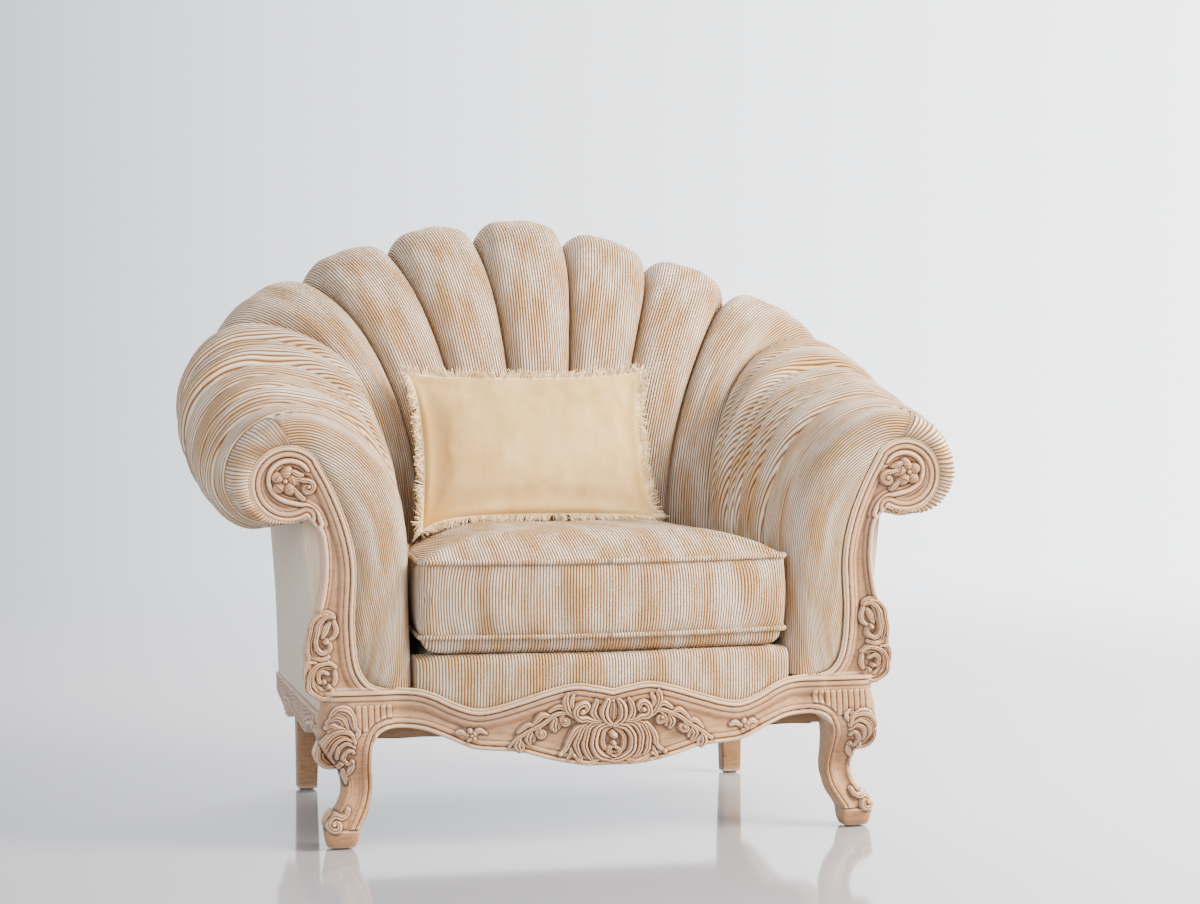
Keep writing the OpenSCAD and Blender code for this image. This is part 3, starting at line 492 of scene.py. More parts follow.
# Creases on each arm: channel number, lean, ends along v, width in channels, depth in millimetres
RIGHT_FOLDS = [
    (3.74, 0.3, 0.12, 0.48, 0.045, 8), (4.05, 0.35, 0.1, 0.42, 0.035, 7), (4.32, 0.4, 0.16, 0.46, 0.04, 8),
    (4.68, 0.5, 0.12, 0.50, 0.045, 11), (4.98, 0.45, 0.2, 0.52, 0.035, 8), (5.22, 0.4, 0.26, 0.50, 0.03, 6),
    (3.95, 0.6, 0.42, 0.64, 0.04, 6), (4.4, 0.6, 0.46, 0.70, 0.045, 7), (4.8, 0.5, 0.48, 0.72, 0.04, 6),
    (5.3, 0.3, 0.52, 0.78, 0.04, 6),
]
LEFT_FOLDS = [
    (3.9, 0.3, 0.44, 0.8, 0.04, 6), (4.3, 0.35, 0.5, 0.86, 0.04, 8), (4.66, 0.35, 0.4, 0.8, 0.035, 7),
    (4.98, 0.35, 0.5, 0.88, 0.035, 8), (5.3, 0.3, 0.44, 0.84, 0.035, 7), (5.56, 0.25, 0.5, 0.88, 0.035, 7),
    (4.45, 0.3, 0.14, 0.38, 0.035, 7), (4.92, 0.4, 0.16, 0.42, 0.035, 8), (5.35, 0.3, 0.18, 0.48, 0.03, 6),
]


def gathers(k, v, creases, height, lean, v0, v1):
    """Round folds between creases, where the cloth is gathered over the roll."""
    at = np.abs(k) - lean * (v - (v0 + v1) / 2)
    edges = np.array(creases)
    i = np.clip(np.searchsorted(edges, at) - 1, 0, len(edges) - 2)
    half = (edges[i + 1] - edges[i]) / 2
    d = np.minimum(np.abs(at - edges[i] - half) / half, 1)
    near = smooth((at - edges[0]) / 0.12 + 1) * (1 - smooth((at - edges[-1]) / 0.12))
    ends = smooth((v - v0) / 0.12) * (1 - smooth((v - v1) / 0.07))
    whole = 1 - smooth((np.abs(k) - 5.8) / 0.15)
    return height * half / 0.2 * ((1 - d**2.2) ** 0.6 - 0.55) * ends * near * whole


LEFT_GATHERS = ((3.72, 4.1, 4.5, 4.92, 5.28, 5.64), 30, 0.3, 0.3, 0.9)
RIGHT_GATHERS = ((3.86, 4.32, 4.76, 5.1, 5.46), 15, 0.3, 0.06, 0.6)


def front_round(k, v):
    """How far the roll draws in where it turns to its front."""
    near = np.clip((np.abs(k) - 5.82) / 0.18, 0, 1)
    return lerp(4, 13, smooth((v - 0.3) / 0.3)) * smooth(v / 0.1) * (1 - np.sqrt(1 - 0.96 * near**2))


def arm_end(v):
    """The front end of the arm's surface, where the front pad begins."""
    k = np.full_like(v, LAST_K)
    return shell_points(k, v) - shell_normal(k, v) * front_round(k, v)[..., None]


def hand_dents(k, v):
    """The slight unevenness of hand stuffing."""
    return 1.1 * np.sin(7.3 * k + 11 * v + 1) * np.sin(17 * v - 3 * k) + 0.7 * np.sin(19 * k - 23 * v + 2)


def shell_piece(name, k_row, v_row, sizes, folds=(), gathered=None):
    """Padding between the shell and its core. Its ribs are measured from the middle of each channel or,
    where the cloth is gathered, from the front of the arm over the plain shell."""
    k, v = grid(k_row, v_row)
    plain = shell_points(k, v)
    rise = channel_rise(k, v, sizes.lobe_depth / MM, sizes.seam_depth / MM)
    for crease in folds:
        rise = rise + fold(np.abs(k), v, *crease)
    if gathered:
        rise = rise + gathers(k, v, *gathered)
    free = smooth(v / 0.2) * (1 - smooth((v - 0.8) / 0.2)) * (np.abs(k) < LAST_K - 0.05)
    rise = rise - front_round(k, v) + hand_dents(k, v) * free
    outer = plain + shell_normal(k, v) * rise[..., None]
    core = core_points(*grid(k_row, np.linspace(1, 0, CORE_ROWS)))
    m, n = k.shape
    total = n + CORE_ROWS
    faces = grid_faces(m, total, wrap=True)
    row, col = faces // total, faces % total
    across = np.concatenate([run(plain if gathered else outer), run(core)], 1)
    down = np.concatenate([run(outer.transpose(1, 0, 2)).T, np.zeros((m, CORE_ROWS))], 1)
    if gathered:
        home = np.full(m - 1, 0 if k_row[0] < 0 else m - 1)
    else:
        home = np.abs(k_row - np.round((k_row[:-1] + k_row[1:]) / 2)[:, None]).argmin(1)
    home = home[row.min(1)][:, None]
    corners = stack(across[row, col] - across[home, col], down[row, col]).reshape(-1, 2)
    marks = [int(round(lerp(0, n - 1, j / (CORE_ROWS - 1)))) for j in range(CORE_ROWS)]
    pairs = enumerate(zip(marks, marks[1:]))
    ends = [[*range(a, b + 1), total - 2 - j, total - 1 - j] for j, (a, b) in pairs]
    caps = [face[::-1] for face in ends] + [[(m - 1) * total + i for i in face] for face in ends]
    corners = np.vstack([corners, np.zeros((sum(map(len, caps)), 2))])
    return piece(name, np.concatenate([outer, core], 1).reshape(-1, 3), faces.tolist() + caps, corners * MM)


# Materials


def add_node(owner, kind, inputs=(), stops=(), **settings):
    """Adds a node to a material or a world. inputs are links (node, output, input) or constants (value,
    input), stops the (place, colour) stops of a ramp, and settings the node's properties and named inputs."""
    tree = owner.node_tree
    node = tree.nodes.new("ShaderNode" + kind)
    for key, value in settings.items():
        if hasattr(node, key):
            setattr(node, key, value)
        else:
            node.inputs[key.replace("_", " ")].default_value = value
    for *source, target in inputs:
        if len(source) > 1:
            tree.links.new(source[0].outputs[source[1]], node.inputs[target])
        else:
            node.inputs[target].default_value = source[0]
    for number, (place, shade) in enumerate(stops):
        elements = node.color_ramp.elements
        element = elements[number] if number < 2 else elements.new(place)
        element.position = place
        element.color = (*shade, 1)
    return node


def new_material(name):
    material = bpy.data.materials.new(name)
    material.use_nodes = True
    material.node_tree.nodes.clear()
    return material


def per_metre(*sizes):
    return [1 / (size * MM) for size in sizes]


def surface(m, base, height, bump, **settings):
    """Ends a material. base and height are (node, output), and bump is strength and depth in millimetres."""
    inputs = [(*base, "Base Color")]
    if bump:
        rough = add_node(m, "Bump", [(*height, "Height")], Strength=bump[0], Distance=bump[1] * MM)
        inputs.append((rough, 0, "Normal"))
    shader = add_node(m, "BsdfPrincipled", inputs, **settings)
    add_node(m, "OutputMaterial", [(shader, 0, "Surface")])
    return m


def mottled(name, low, high, sizes, stops=(0.35, 0.65), roughness=0.5, bump=(0.3, 0.4), **settings):
    """A material mottled between two colours, in its surface too. sizes are the mottle's in millimetres
    along X, Y and Z, and roughness is how broken it looks."""
    m = new_material(name)
    place = add_node(m, "TexCoord")
    scaled = add_node(m, "Mapping", [(place, "Object", "Vector")], Scale=per_metre(*sizes))
    noise = add_node(m, "TexNoise", [(scaled, 0, "Vector")], Scale=1.0, Detail=3.0, Roughness=roughness)
    base = add_node(m, "ValToRGB", [(noise, "Fac", 0)], list(zip(stops, (low, high))))
    return surface(m, (base, 0), (noise, "Fac"), bump, **settings)


# A wave texture has one band every pi / 10 of its own units
WAVE_BAND = math.pi / 10


def ribbed_chenille(sizes):
    """Cotton chenille woven in ribs: pale pile on the ridges, tan ground between them, made darker still as
    painted shade in the valleys, and long soft clouds where the pile is brushed the other way."""
    m = new_material("ribbed_chenille")
    cloth = add_node(m, "UVMap", uv_map="ribs")
    wave = add_node(m, "TexWave", [(cloth, 0, "Vector")], wave_type="BANDS", bands_direction="X",
                    wave_profile="SIN", Scale=WAVE_BAND / sizes.rib_pitch, Distortion=1.7, Detail=1.0,
                    Detail_Scale=0.2)
    # Streaks of worn pile are as wide as a rib, and clouds of brushed pile ten ribs wide, both long ones
    noises = []
    for size, broken in (((4.762, 62.5, 1000), 0.6), ((47.62, 153.8, 1000), 0.55)):
        scaled = add_node(m, "Mapping", [(cloth, 0, "Vector")], Scale=per_metre(*size))
        noises.append(add_node(m, "TexNoise", [(scaled, 0, 0)], Scale=1.0, Detail=3.0, Roughness=broken))
    streaks, clouds = noises
    pile = add_node(m, "Math", [(streaks, 0, 0), (0.45, 1), (clouds, 0, 2)], operation="MULTIPLY_ADD")
    valley, ridge = np.array(sizes.valley), np.array(sizes.ridge)
    # Dark in the rib valleys: the ground cloth's colour and painted shade
    ribs = add_node(m, "ValToRGB", [(wave, "Fac", 0)],
                    [(0.05, valley), (0.3, lerp(valley, ridge, 0.5)), (0.6, ridge)])
    brushed = add_node(m, "ValToRGB", [(pile, 0, 0)], [(0.56, (0, 0, 0)), (0.82, (1, 1, 1))])
    tinted = add_node(m, "Mix", [(brushed, 0, 0), (ribs, 0, 6), ((*sizes.brushed, 1), 7)], data_type="RGBA",
                      blend_type="MULTIPLY")
    worn = add_node(m, "ValToRGB", [(streaks, "Fac", 0)], [(0.36, (0.72, 0.62, 0.5)), (0.56, (1, 1, 1))])
    base = add_node(m, "Mix", [(0.4, 0), (tinted, 2, 6), (worn, 0, 7)], data_type="RGBA",
                    blend_type="MULTIPLY")
    # The pile's tufts are about 0.3 mm wide, and are drawn three times as wide so that they show
    fuzz = add_node(m, "TexNoise", [(cloth, 0, "Vector")], Scale=1 / (0.909 * MM), Detail=2.0)
    height = add_node(m, "Math", [(fuzz, "Fac", 0), (0.45, 1), (wave, "Fac", 2)], operation="MULTIPLY_ADD")
    return surface(m, (base, 2), (height, 0), (1.0, 3), Roughness=0.85, Sheen_Weight=0.14,
                   Sheen_Roughness=0.4, Specular_IOR_Level=0.25)


def cotton_velvet(name, shade, deep):
    """Short cotton pile: warm and deep face on, paler where the pile turns away, with soft brushed clouds,
    and darker and golden where a painted warm shade is stored on the piece."""
    m = new_material(name)
    place = add_node(m, "TexCoord")
    scaled = add_node(m, "Mapping", [(place, "Object", "Vector")], Scale=per_metre(38.46, 38.46, 111.1))
    clouds = add_node(m, "TexNoise", [(scaled, 0, "Vector")], Scale=1.0, Detail=4.0, Roughness=0.6)
    # Tufts of 0.2 mm, drawn 0.7 mm wide so that they show
    tufts = add_node(m, "TexNoise", [(place, "Object", "Vector")], Scale=1 / (0.7143 * MM), Detail=1.0)
    cloudy = add_node(m, "ValToRGB", [(clouds, "Fac", 0)], [(0.3, deep), (0.62, shade)])
    # A darker golden colour, mixed in as painted warm shade where the piece stores it
    painted_warm_shade = add_node(m, "Attribute", attribute_name="painted_warm_shade", attribute_type="GEOMETRY")
    painted_shade_tint = 0.8 * shade * [0.98, 0.78, 0.5]
    base = add_node(m, "Mix", [(painted_warm_shade, "Fac", 0), (cloudy, 0, 6), ((*painted_shade_tint, 1), 7)], data_type="RGBA")
    return surface(m, (base, 2), (tufts, "Fac"), (0.4, 0.4), Roughness=0.8, Sheen_Weight=0.22,
                   Sheen_Roughness=0.35, Specular_IOR_Level=0.25)


def limed_wood(wood, name="limed_wood", face=None):
    """Carved wood, bleached and limed: pale ridges of lime and painted highlight, brown glaze and painted
    shade in the hollows, and fine open grain.
    """
    m = new_material(name)
    face = np.array(face or wood.limed)
    place = add_node(m, "TexCoord")
    # Grain of 4 mm across the board and 17 mm along it, and clouds of 45 mm in the bleach
    scaled = add_node(m, "Mapping", [(place, "Object", "Vector")], Scale=per_metre(16.67, 4.167, 4.167))
    grain = add_node(m, "TexNoise", [(scaled, 0, "Vector")], Scale=1.0, Detail=4.0, Roughness=0.65)
    clouds = add_node(m, "TexNoise", [(place, "Object", "Vector")], Scale=1 / (45.45 * MM), Detail=3.0)
    tone = add_node(m, "ValToRGB", [(grain, "Fac", 0)],
                    [(0.3, 0.68 * face), (0.5, face), (0.72, np.minimum(1.18 * face, 1))])
    warm = add_node(m, "ValToRGB", [(clouds, "Fac", 0)], [(0.35, (0.82, 0.74, 0.64)), (0.62, (1, 1, 1))])
    shown = add_node(m, "Mix", [(0.8, 0), (tone, 0, 6), (warm, 0, 7)], data_type="RGBA",
                     blend_type="MULTIPLY")
    relief = add_node(m, "Attribute", attribute_name="relief", attribute_type="GEOMETRY")
    # Hollows take the glaze colour as glaze and painted shade, ridges the lime colour as lime and painted
    # highlight
    for low, high, shade in ((0.05, 1.0, wood.hollow), (-0.2, -1.5, wood.ridge)):
        share = add_node(m, "MapRange", [(relief, "Fac", "Value")], From_Min=low, From_Max=high)
        shown = add_node(m, "Mix", [(share, 0, 0), (shown, 2, 6), ((*shade, 1), 7)], data_type="RGBA")
    return surface(m, (shown, 2), (grain, "Fac"), (0.3, 0.6), Roughness=0.5, Coat_Weight=0.12,
                   Coat_Roughness=0.35, Specular_IOR_Level=0.4)


MADE = {}


def materials():
    """Every material of the chair by its finish, made once."""
    if MADE:
        return MADE
    cloth, wood = bpy.context.scene.chair_upholstery, bpy.context.scene.chair_wood
    shades = cloth.plain, cloth.pillow, cloth.yarn, cloth.brushed, wood.beech
    plain, pillow, yarn, brushed, beech = (np.array(shade) for shade in shades)
    made = [
        ribbed_chenille(cloth),
        # Plain-woven chenille: matt, with fine slubs that run down the cloth
        mottled("plain_chenille", 0.82 * plain, np.minimum(1.06 * plain, 1), (3.03, 3.03, 71.43), (0.3, 0.7),
                0.6, (0.35, 0.6), Roughness=0.9, Sheen_Weight=0.25, Sheen_Roughness=0.5,
                Specular_IOR_Level=0.2),
        cotton_velvet("cotton_velvet", pillow, 0.84 * pillow * [1, 0.9, 0.74]),
        cotton_velvet("cut_cotton_yarn", yarn, 0.8 * yarn * [1, 0.9, 0.76]),
        cotton_velvet("bias_cut_chenille", brushed, 0.6 * brushed * [1, 0.86, 0.7]),
        limed_wood(wood),
        # The same wood with a darker face on the plain rear legs: painted shade
        limed_wood(wood, "limed_wood_in_painted_shade", linear("#926D4A")),
        # Planed beech without a finish: fine short flecks and a dry surface
        mottled("planed_beech", 0.8 * beech, beech, (25, 3.333, 3.333), bump=None, Roughness=0.7),
    ]
    # Zinc plate mottles grey, jute and ticking show their weave, cambric is near black and nylon smooth
    for name, low, high, grit, rough, metallic in (
        ("zinc_plated_steel", "#8C9096", "#B4B8BD", 4.545, 0.38, 1.0),
        ("jute_webbing_cloth", "#94764A", "#BFA06D", 1.111, 0.95, 0.0),
        ("cotton_deck_ticking", "#B9AD9A", "#D6CBB8", 1.429, 0.95, 0.0),
        ("black_cambric", "#26241F", "#3B3833", 1.25, 0.95, 0.0),
        ("nylon_glide_cap", "#544637", "#66553F", 11.11, 0.45, 0.0),
    ):
        made.append(mottled(name, linear(low), linear(high), [grit] * 3, Roughness=rough, Metallic=metallic))
    MADE.update((m.name.split(".")[0], m) for m in made)
    return MADE


# Carving: heights drawn on a flat grid, then cut out and laid on the wood's own face


def near_line(points, line):
    """Distance of each point from a line, and how far along it the nearest place is, from 0 to 1."""
    best = np.full(len(points), 1e9)
    share = np.zeros(len(points))
    s = run(line)
    for i in range(len(line) - 1):
        a, b = line[i], line[i + 1]
        ab = b - a
        t = np.clip(((points - a) @ ab) / max(ab @ ab, 1e-9), 0, 1)
        d = np.hypot(points[:, 0] - a[0] - ab[0] * t, points[:, 1] - a[1] - ab[1] * t)
        closer = d < best
        best = np.where(closer, d, best)
        share = np.where(closer, (s[i] + t * (s[i + 1] - s[i])) / max(s[-1], 1e-9), share)
    return best, share


def distance(points, line):
    return near_line(points, line)[0]


def within(points, outline):
    """Whether each point is inside a closed outline."""
    result = np.zeros(len(points), bool)
    x, z = points[:, 0], points[:, 1]
    for (ax, az), (bx, bz) in zip(outline, np.roll(outline, -1, 0)):
        if az == bz:
            continue
        cross = ((az > z) != (bz > z)) & (x < (bx - ax) * (z - az) / (bz - az) + ax)
        result ^= cross
    return result


def outline_grid(us, vs, outline):
    """Distance inside the outline at every point of a grid, negative outside it."""
    u, v = grid(us, vs)
    points = stack(u.ravel(), v.ravel())
    d = distance(points, np.vstack([outline, outline[:1]]))
    return np.where(within(points, outline), d, -d).reshape(u.shape)


def cut_grid(xs, zs, field):
    """Points, faces and border edges of the part of a grid where the field is above zero."""
    inside = field > 0
    index = np.full(field.shape, -1)
    index[inside] = np.arange(inside.sum())
    points = [(xs[i], zs[j], field[i, j]) for i, j in zip(*np.nonzero(inside))]
    crossings = {}

    def crossing(a, b):
        key = (a, b) if a < b else (b, a)
        if key not in crossings:
            (i, j), (m, n) = key
            t = min(max(field[i, j] / (field[i, j] - field[m, n]), 0.03), 0.97)
            crossings[key] = len(points)
            points.append((lerp(xs[i], xs[m], t), lerp(zs[j], zs[n], t), 0.0))
        return crossings[key]

    count = inside[:-1, :-1].astype(int) + inside[1:, :-1] + inside[1:, 1:] + inside[:-1, 1:]
    i, j = np.nonzero(count == 4)
    faces = stack(index[i, j], index[i + 1, j], index[i + 1, j + 1], index[i, j + 1]).tolist()
    border = []
    for i, j in zip(*np.nonzero((count > 0) & (count < 4))):
        corners = [(i, j), (i + 1, j), (i + 1, j + 1), (i, j + 1)]
        following = corners[1:] + corners[:1]
        if count[i, j] == 2 and inside[i, j] == inside[i + 1, j + 1]:
            for before, corner, after in zip(corners[-1:] + corners, corners, following):
                if inside[corner]:
                    enter, leave = crossing(before, corner), crossing(corner, after)
                    faces.append([enter, index[corner], leave])
                    border.append((leave, enter))
            continue
        face, ends = [], {}
        for a, b in zip(corners, following):
            if inside[a]:
                face.append(index[a])
            if inside[a] != inside[b]:
                ends[bool(inside[a])] = crossing(a, b)
                face.append(crossing(a, b))
        faces.append(face)
        border.append((ends[True], ends[False]))
    return np.array(points), faces, border


def relief_piece(name, xs, zs, field, height, front, back, side=1, turn=None):
    """A carved slab: its face is cut out of a grid and raised by height(x, z, inside distance). turn moves
    it from the front plane to another side of the chair."""
    flat, faces, border = cut_grid(xs, zs, field)
    x, z, inside = flat.T
    points = np.vstack([stack(x, front(x, z) - height(x, z, inside), z), stack(x, back(x, z), z)])
    n = len(flat)
    quads = [[a, b, b + n, a + n] for a, b in border]
    behind = [[v + n for v in face[::-1]] for face in faces]
    if turn:
        points = turn(points)
    obj = piece(name, points * [side, 1, 1], faces + quads + behind)
    mark_relief(obj)
    return obj


def mark_relief(obj, rounds=10, full=0.7):
    """Stores how far each vertex lies in a hollow (above 0) or on a ridge (below 0), for the finish's glaze
    and painted shade in hollows and lime and painted highlight on ridges.
    """
    points, n = places(obj), len(obj.data.vertices)
    a, b = read(obj.data.edges, "vertices", 2, int).T
    degree = np.maximum(np.bincount(a, minlength=n) + np.bincount(b, minlength=n), 1)[:, None]
    even = points
    for _ in range(rounds):
        total = stack(*(np.bincount(a, c[b], n) + np.bincount(b, c[a], n) for c in even.T))
        even = 0.5 * even + 0.5 * total / degree
    hollow = ((even - points) * read(obj.data.vertices, "normal")).sum(-1) / full
    store(obj, "relief", np.clip(hollow, -1, 1))


def plain_marks(obj, where):
    """Takes the glaze, lime, painted shade and painted highlight off the places that where(points) names,
    such as a joint that is glued flush.
    """
    store(obj, "relief", relief_marks(obj) * ~where(places(obj)))


def shade_round(obj, strokes, side=1):
    """Leaves brown glaze and painted shade on the ground close round a carving."""
    points = places(obj) * [side, 1, 1]
    _, field = carve(points[:, [0, 2]], strokes)
    near = np.where(field > -0.5, 1, np.exp(-(((field + 0.5) / 3.2) ** 2))) * (points[:, 1] < 20)
    store(obj, "relief", np.clip(relief_marks(obj) + 0.95 * near, -1, 1))


def band(d, centre, half):
    """A round moulding across the distance d."""
    return np.sqrt(np.clip(1 - ((d - centre) / half) ** 2, 0, 1))


def groove(d, centre, half):
    return np.exp(-(((d - centre) / half) ** 2))


def moulding(d, bead):
    """Edge moulding at a distance d from the edge: a bead, a quirk, a flat band and a second quirk."""
    raised = np.maximum(bead * band(d, 3.6, 3.5), 0.6 * bead * band(d, 11.2, 4.4))
    return raised - 1.4 * groove(d, 7.4, 0.9) - 0.5 * groove(d, 16.4, 1.4)


# Inside distance of places away from every stroke
FAR_OUT = -9.0
# Reach of a carving's foot round its strokes, in millimetres
CARVING_FOOT = 0.8


def cut(width, height, *line, **more):
    """One stroke of the carver: its width, its share of the carving's height, and the points of its line."""
    return dict(line=line, width=width, height=height, **more)


def stroke(points, line, width, height, tip=0.2, eye=0.0, veins=0, crease=0.25):
    """Height and inside distance of one carved stroke: a tapering ridge along a line, with a round eye at
    its end. Veins cut it lengthwise."""
    path = spline(line, 5)
    rise, field = np.zeros(len(points)), np.full(len(points), FAR_OUT)
    reach = max(width, eye) + 9
    near = ((points > path.min(0) - reach) & (points < path.max(0) + reach)).all(1)
    if near.any():
        d, t = near_line(points[near], path)
        half = 1.18 * width * (tip + (1 - tip) * np.sin(np.pi * np.clip(0.12 + 0.76 * t, 0, 1)) ** 0.7)
        x = np.clip(d / half, 0, 1)
        profile = np.sqrt(1 - x**2) * (1 - crease * groove(x, 0, 0.2))
        if veins:
            vein = 0.5 - 0.5 * np.cos(2 * math.pi * veins * x)
            profile = np.sqrt(1 - 0.8 * x**2) * (1 - 0.42 * vein**0.7)
        field[near] = half - d
        rise[near] = height * profile * (0.72 + 0.28 * np.sin(np.pi * np.clip(t, 0.1, 1) ** 0.8))
        if eye:
            e = np.hypot(*(points[near] - path[-1]).T)
            field[near] = np.maximum(field[near], eye - e)
            rise[near] = np.maximum(rise[near], 1.2 * height * band(e, 0, eye))
    return rise, field


def carve(points, strokes):
    """Highest of several strokes at each point, and the distance inside their common outline."""
    x, z = points.T
    uneven = stack(1.2 * np.sin(z / 9 + x / 31) + 0.5 * np.sin(z / 4.1 + 1),
                   1.2 * np.sin(x / 10 + 2 + z / 37) + 0.5 * np.sin(x / 4.7))
    rises, fields = zip(*(stroke(points + uneven, **values) for values in strokes))
    return np.max(rises, 0), np.max(fields, 0, initial=FAR_OUT)


def carved_piece(name, strokes, high, x_range, z_range, step, front, thick=3, side=1):
    """A carved ornament of strokes, laid on the face that front(x, z) gives."""
    xs, zs = (np.arange(low, top + step, step) for low, top in (x_range, z_range))
    gx, gz = grid(xs, zs)
    rise, field = carve(stack(gx.ravel(), gz.ravel()), strokes)
    rise = high * rise.reshape(gx.shape)

    def height(x, z, inside):
        i = np.clip((x - xs[0]) / step, 0, len(xs) - 1.001)
        j = np.clip((z - zs[0]) / step, 0, len(zs) - 1.001)
        a, b = i.astype(int), j.astype(int)
        low, top = (lerp(rise[a, c], rise[a + 1, c], i - a) for c in (b, b + 1))
        return lerp(low, top, j - b) * smooth(inside / 1.2 + 0.15) + 0.4

    return relief_piece(name, xs, zs, field.reshape(gx.shape) + CARVING_FOOT, height, front,
                        lambda x, z: front(x, z) + thick, side)


def mirrored_strokes(strokes):
    """The strokes with a mirrored copy of each that leaves the middle line."""
    aside = [s for s in strokes if max(abs(x) for x, _ in s["line"]) > 0.1]
    return strokes + [{**s, "line": [(-x, z) for x, z in s["line"]]} for s in aside]


def spiral(centre, start_r, end_r, start, turn, count=14):
    """Points of a scroll that winds from start (degrees) by turn, and closes in on its eye."""
    t = np.linspace(0, 1, count)
    a = np.radians(start + turn * t)
    r = lerp(start_r, end_r, t**0.8)
    return [(centre[0] + q * math.cos(b), centre[1] + q * math.sin(b)) for q, b in zip(r, a)]


# Show wood


RAIL_TOP = [(0, 116), (28, 122), (60, 126), (96, 119), (141, 105), (185, 92), (215, 89), (247, 99),
            (274, 112), (300, 120), (330, 122), (371.6, 122)]
RAIL_BOTTOM = [(0, 0), (35, 0), (68, 4), (100, 11), (122, 17), (150, 24), (208, 28), (232, 35), (262, 48),
               (296, 60), (335, 64), (358, 56), (371.6, 34)]


# The rail's lower edge with its end behind the leg
RAIL_END = [p for p in RAIL_BOTTOM if p[0] < 340] + [(350, 62), (362, 56), (371.6, 44)]


def rail_half(points):
    """An edge of the rail's right half."""
    return spline([(x, RAIL_LOW + z) for x, z in points], 6)


def both_ways(half):
    """A line from the left to the right, from its right half."""
    return np.vstack([(half * [-1, 1])[:0:-1], half])


def whole_line(half):
    """A rail's edge from the left to the right, from its right half."""
    return both_ways(rail_half(half))


def bow_y(x, front=BOW_FRONT, r=BOW_R):
    return front + r - np.sqrt(r * r - np.asarray(x, float) ** 2)


# Inner line of the free leg below the arch, as (X, Z)
LEG_INNER_LINE = [(350, 186), (362, 180), (369, 168), (372, 152), (371, 128), (369, 106), (369, 90),
                  (374, 68), (384, 48), (393, 33)]


def under_line():
    """Lower edge of the rail's right half, going on down the inner edge of the leg."""
    return np.vstack([rail_half(p for p in RAIL_BOTTOM if p[0] < 340), spline(LEG_INNER_LINE, 5)])


REED_PITCH = 9.8


# Where the reeds end on the right knee and, under its crown of leaves, on the left one
REED_END_RIGHT = 439
REED_END_LEFT = 400


def reeds(x, z, d_under, end=390):
    """Upright reeds over the knee, with round ends, between the rail's mouldings and the arch."""
    across = np.abs((x - 341) / REED_PITCH - np.floor((x - 341) / REED_PITCH) - 0.5) * 2
    inside = smooth((d_under - 17 - 2 * across**2) / 2.5) * smooth((225 - z - 2 * across**2) / 2)
    ends = smooth((z - 183) / 3) * smooth((x - 341) / 2) * smooth((end - x) / 2)
    return (4.6 * np.sqrt(np.clip(1 - across**4, 0, 1)) - 2.2) * inside * ends


def apron_front(x, z):
    """Front of the rail: bowed in the middle, and drawn out to the leg's front at its ends."""
    a = np.abs(x)
    leg_front = np.interp(z, LEG_KEYS[:, 0], LEG_KEYS[:, 3])
    return lerp(bow_y(a), leg_front, smooth((a - 300) / 58)) + 0.7 * smooth((a - 362) / 3)


def rail_height(x, z, bead):
    """Rise of the front rail's mouldings, its sunk field and the reeds at its ends."""
    a = np.abs(x)
    flat = stack(a, z)
    d_top, d_low = (distance(flat, np.vstack([(line * [-1, 1])[3:0:-1], line]))
                    for line in (rail_half(RAIL_TOP), under_line()))
    cove = 1.4 * np.exp(-(((d_top - 23) / 5) ** 2))
    field = -3.4 * smooth((np.minimum(d_top - 18, d_low - 16)) / 12)
    raised = moulding(d_top, bead) + moulding(d_low, bead)
    return (raised + cove + field) * smooth(np.minimum(d_top, d_low) / 1.2) + reeds(a, z, d_low)


def front_rail_piece(wood):
    """Serpentine front rail, carved on its face and plain where it meets the legs."""
    step = 1.3
    xs = np.arange(-373.5, 374, step)
    zs = np.arange(RAIL_LOW - 2, RAIL_LOW + 130, step)
    field = outline_grid(xs, zs, np.vstack([whole_line(RAIL_END), whole_line(RAIL_TOP)[::-1]]))
    obj = relief_piece("carved_front_rail", xs, zs, field, lambda x, z, d: rail_height(x, z, wood.bead / MM),
                       apron_front, lambda x, z: bow_y(x, BOW_FRONT + RAIL_T, BOW_R - RAIL_T))
    plain_marks(obj, lambda p: np.abs(p[:, 0]) > 369.5)
    shade_round(obj, cartouche_strokes() + flower_strokes(222, 174) + flower_strokes(-222, 174))
    return obj


FACING_OUTER = [(149, 246.4), (163, 262), (170, 286), (171, 310), (164, 338), (154, 362), (146, 395),
                (142, 430), (143, 465), (149, 494), (169, 517)]
FACING_INNER = [(49, 246.4), (74, 256), (91, 286), (97, 350), (94, 434), (105, 496), (129, 558), (155, 606)]
ARC_START = 137
ARC_END = -119


def from_arm(points):
    return [(x + SEAT_HALF, z) for x, z in points]


def arc(centre, r, start, end, count):
    a = np.radians(np.linspace(start, end, count))
    return stack(centre[0] + r * np.cos(a), centre[1] + r * np.sin(a))


def facing_lines():
    """The facing's inner edge with the rim of its scroll, and its outer edge."""
    inner = spline(from_arm(FACING_INNER), 6)[:-1]
    rim = arc(VOLUTE, VOLUTE_R, ARC_START, ARC_END, 70)
    outer = spline(from_arm(FACING_OUTER), 6)[:-1]
    return np.vstack([inner, rim]), outer


# The bead on the facing's outer edge winds into the scroll along these points
SCROLL_TURN = [(448, 505), (455, 521), (469, 533), (488, 537), (509, 543), (524, 555), (530, 572),
               (526, 589), (513, 600), (497, 603), (481, 599), (469, 589)]


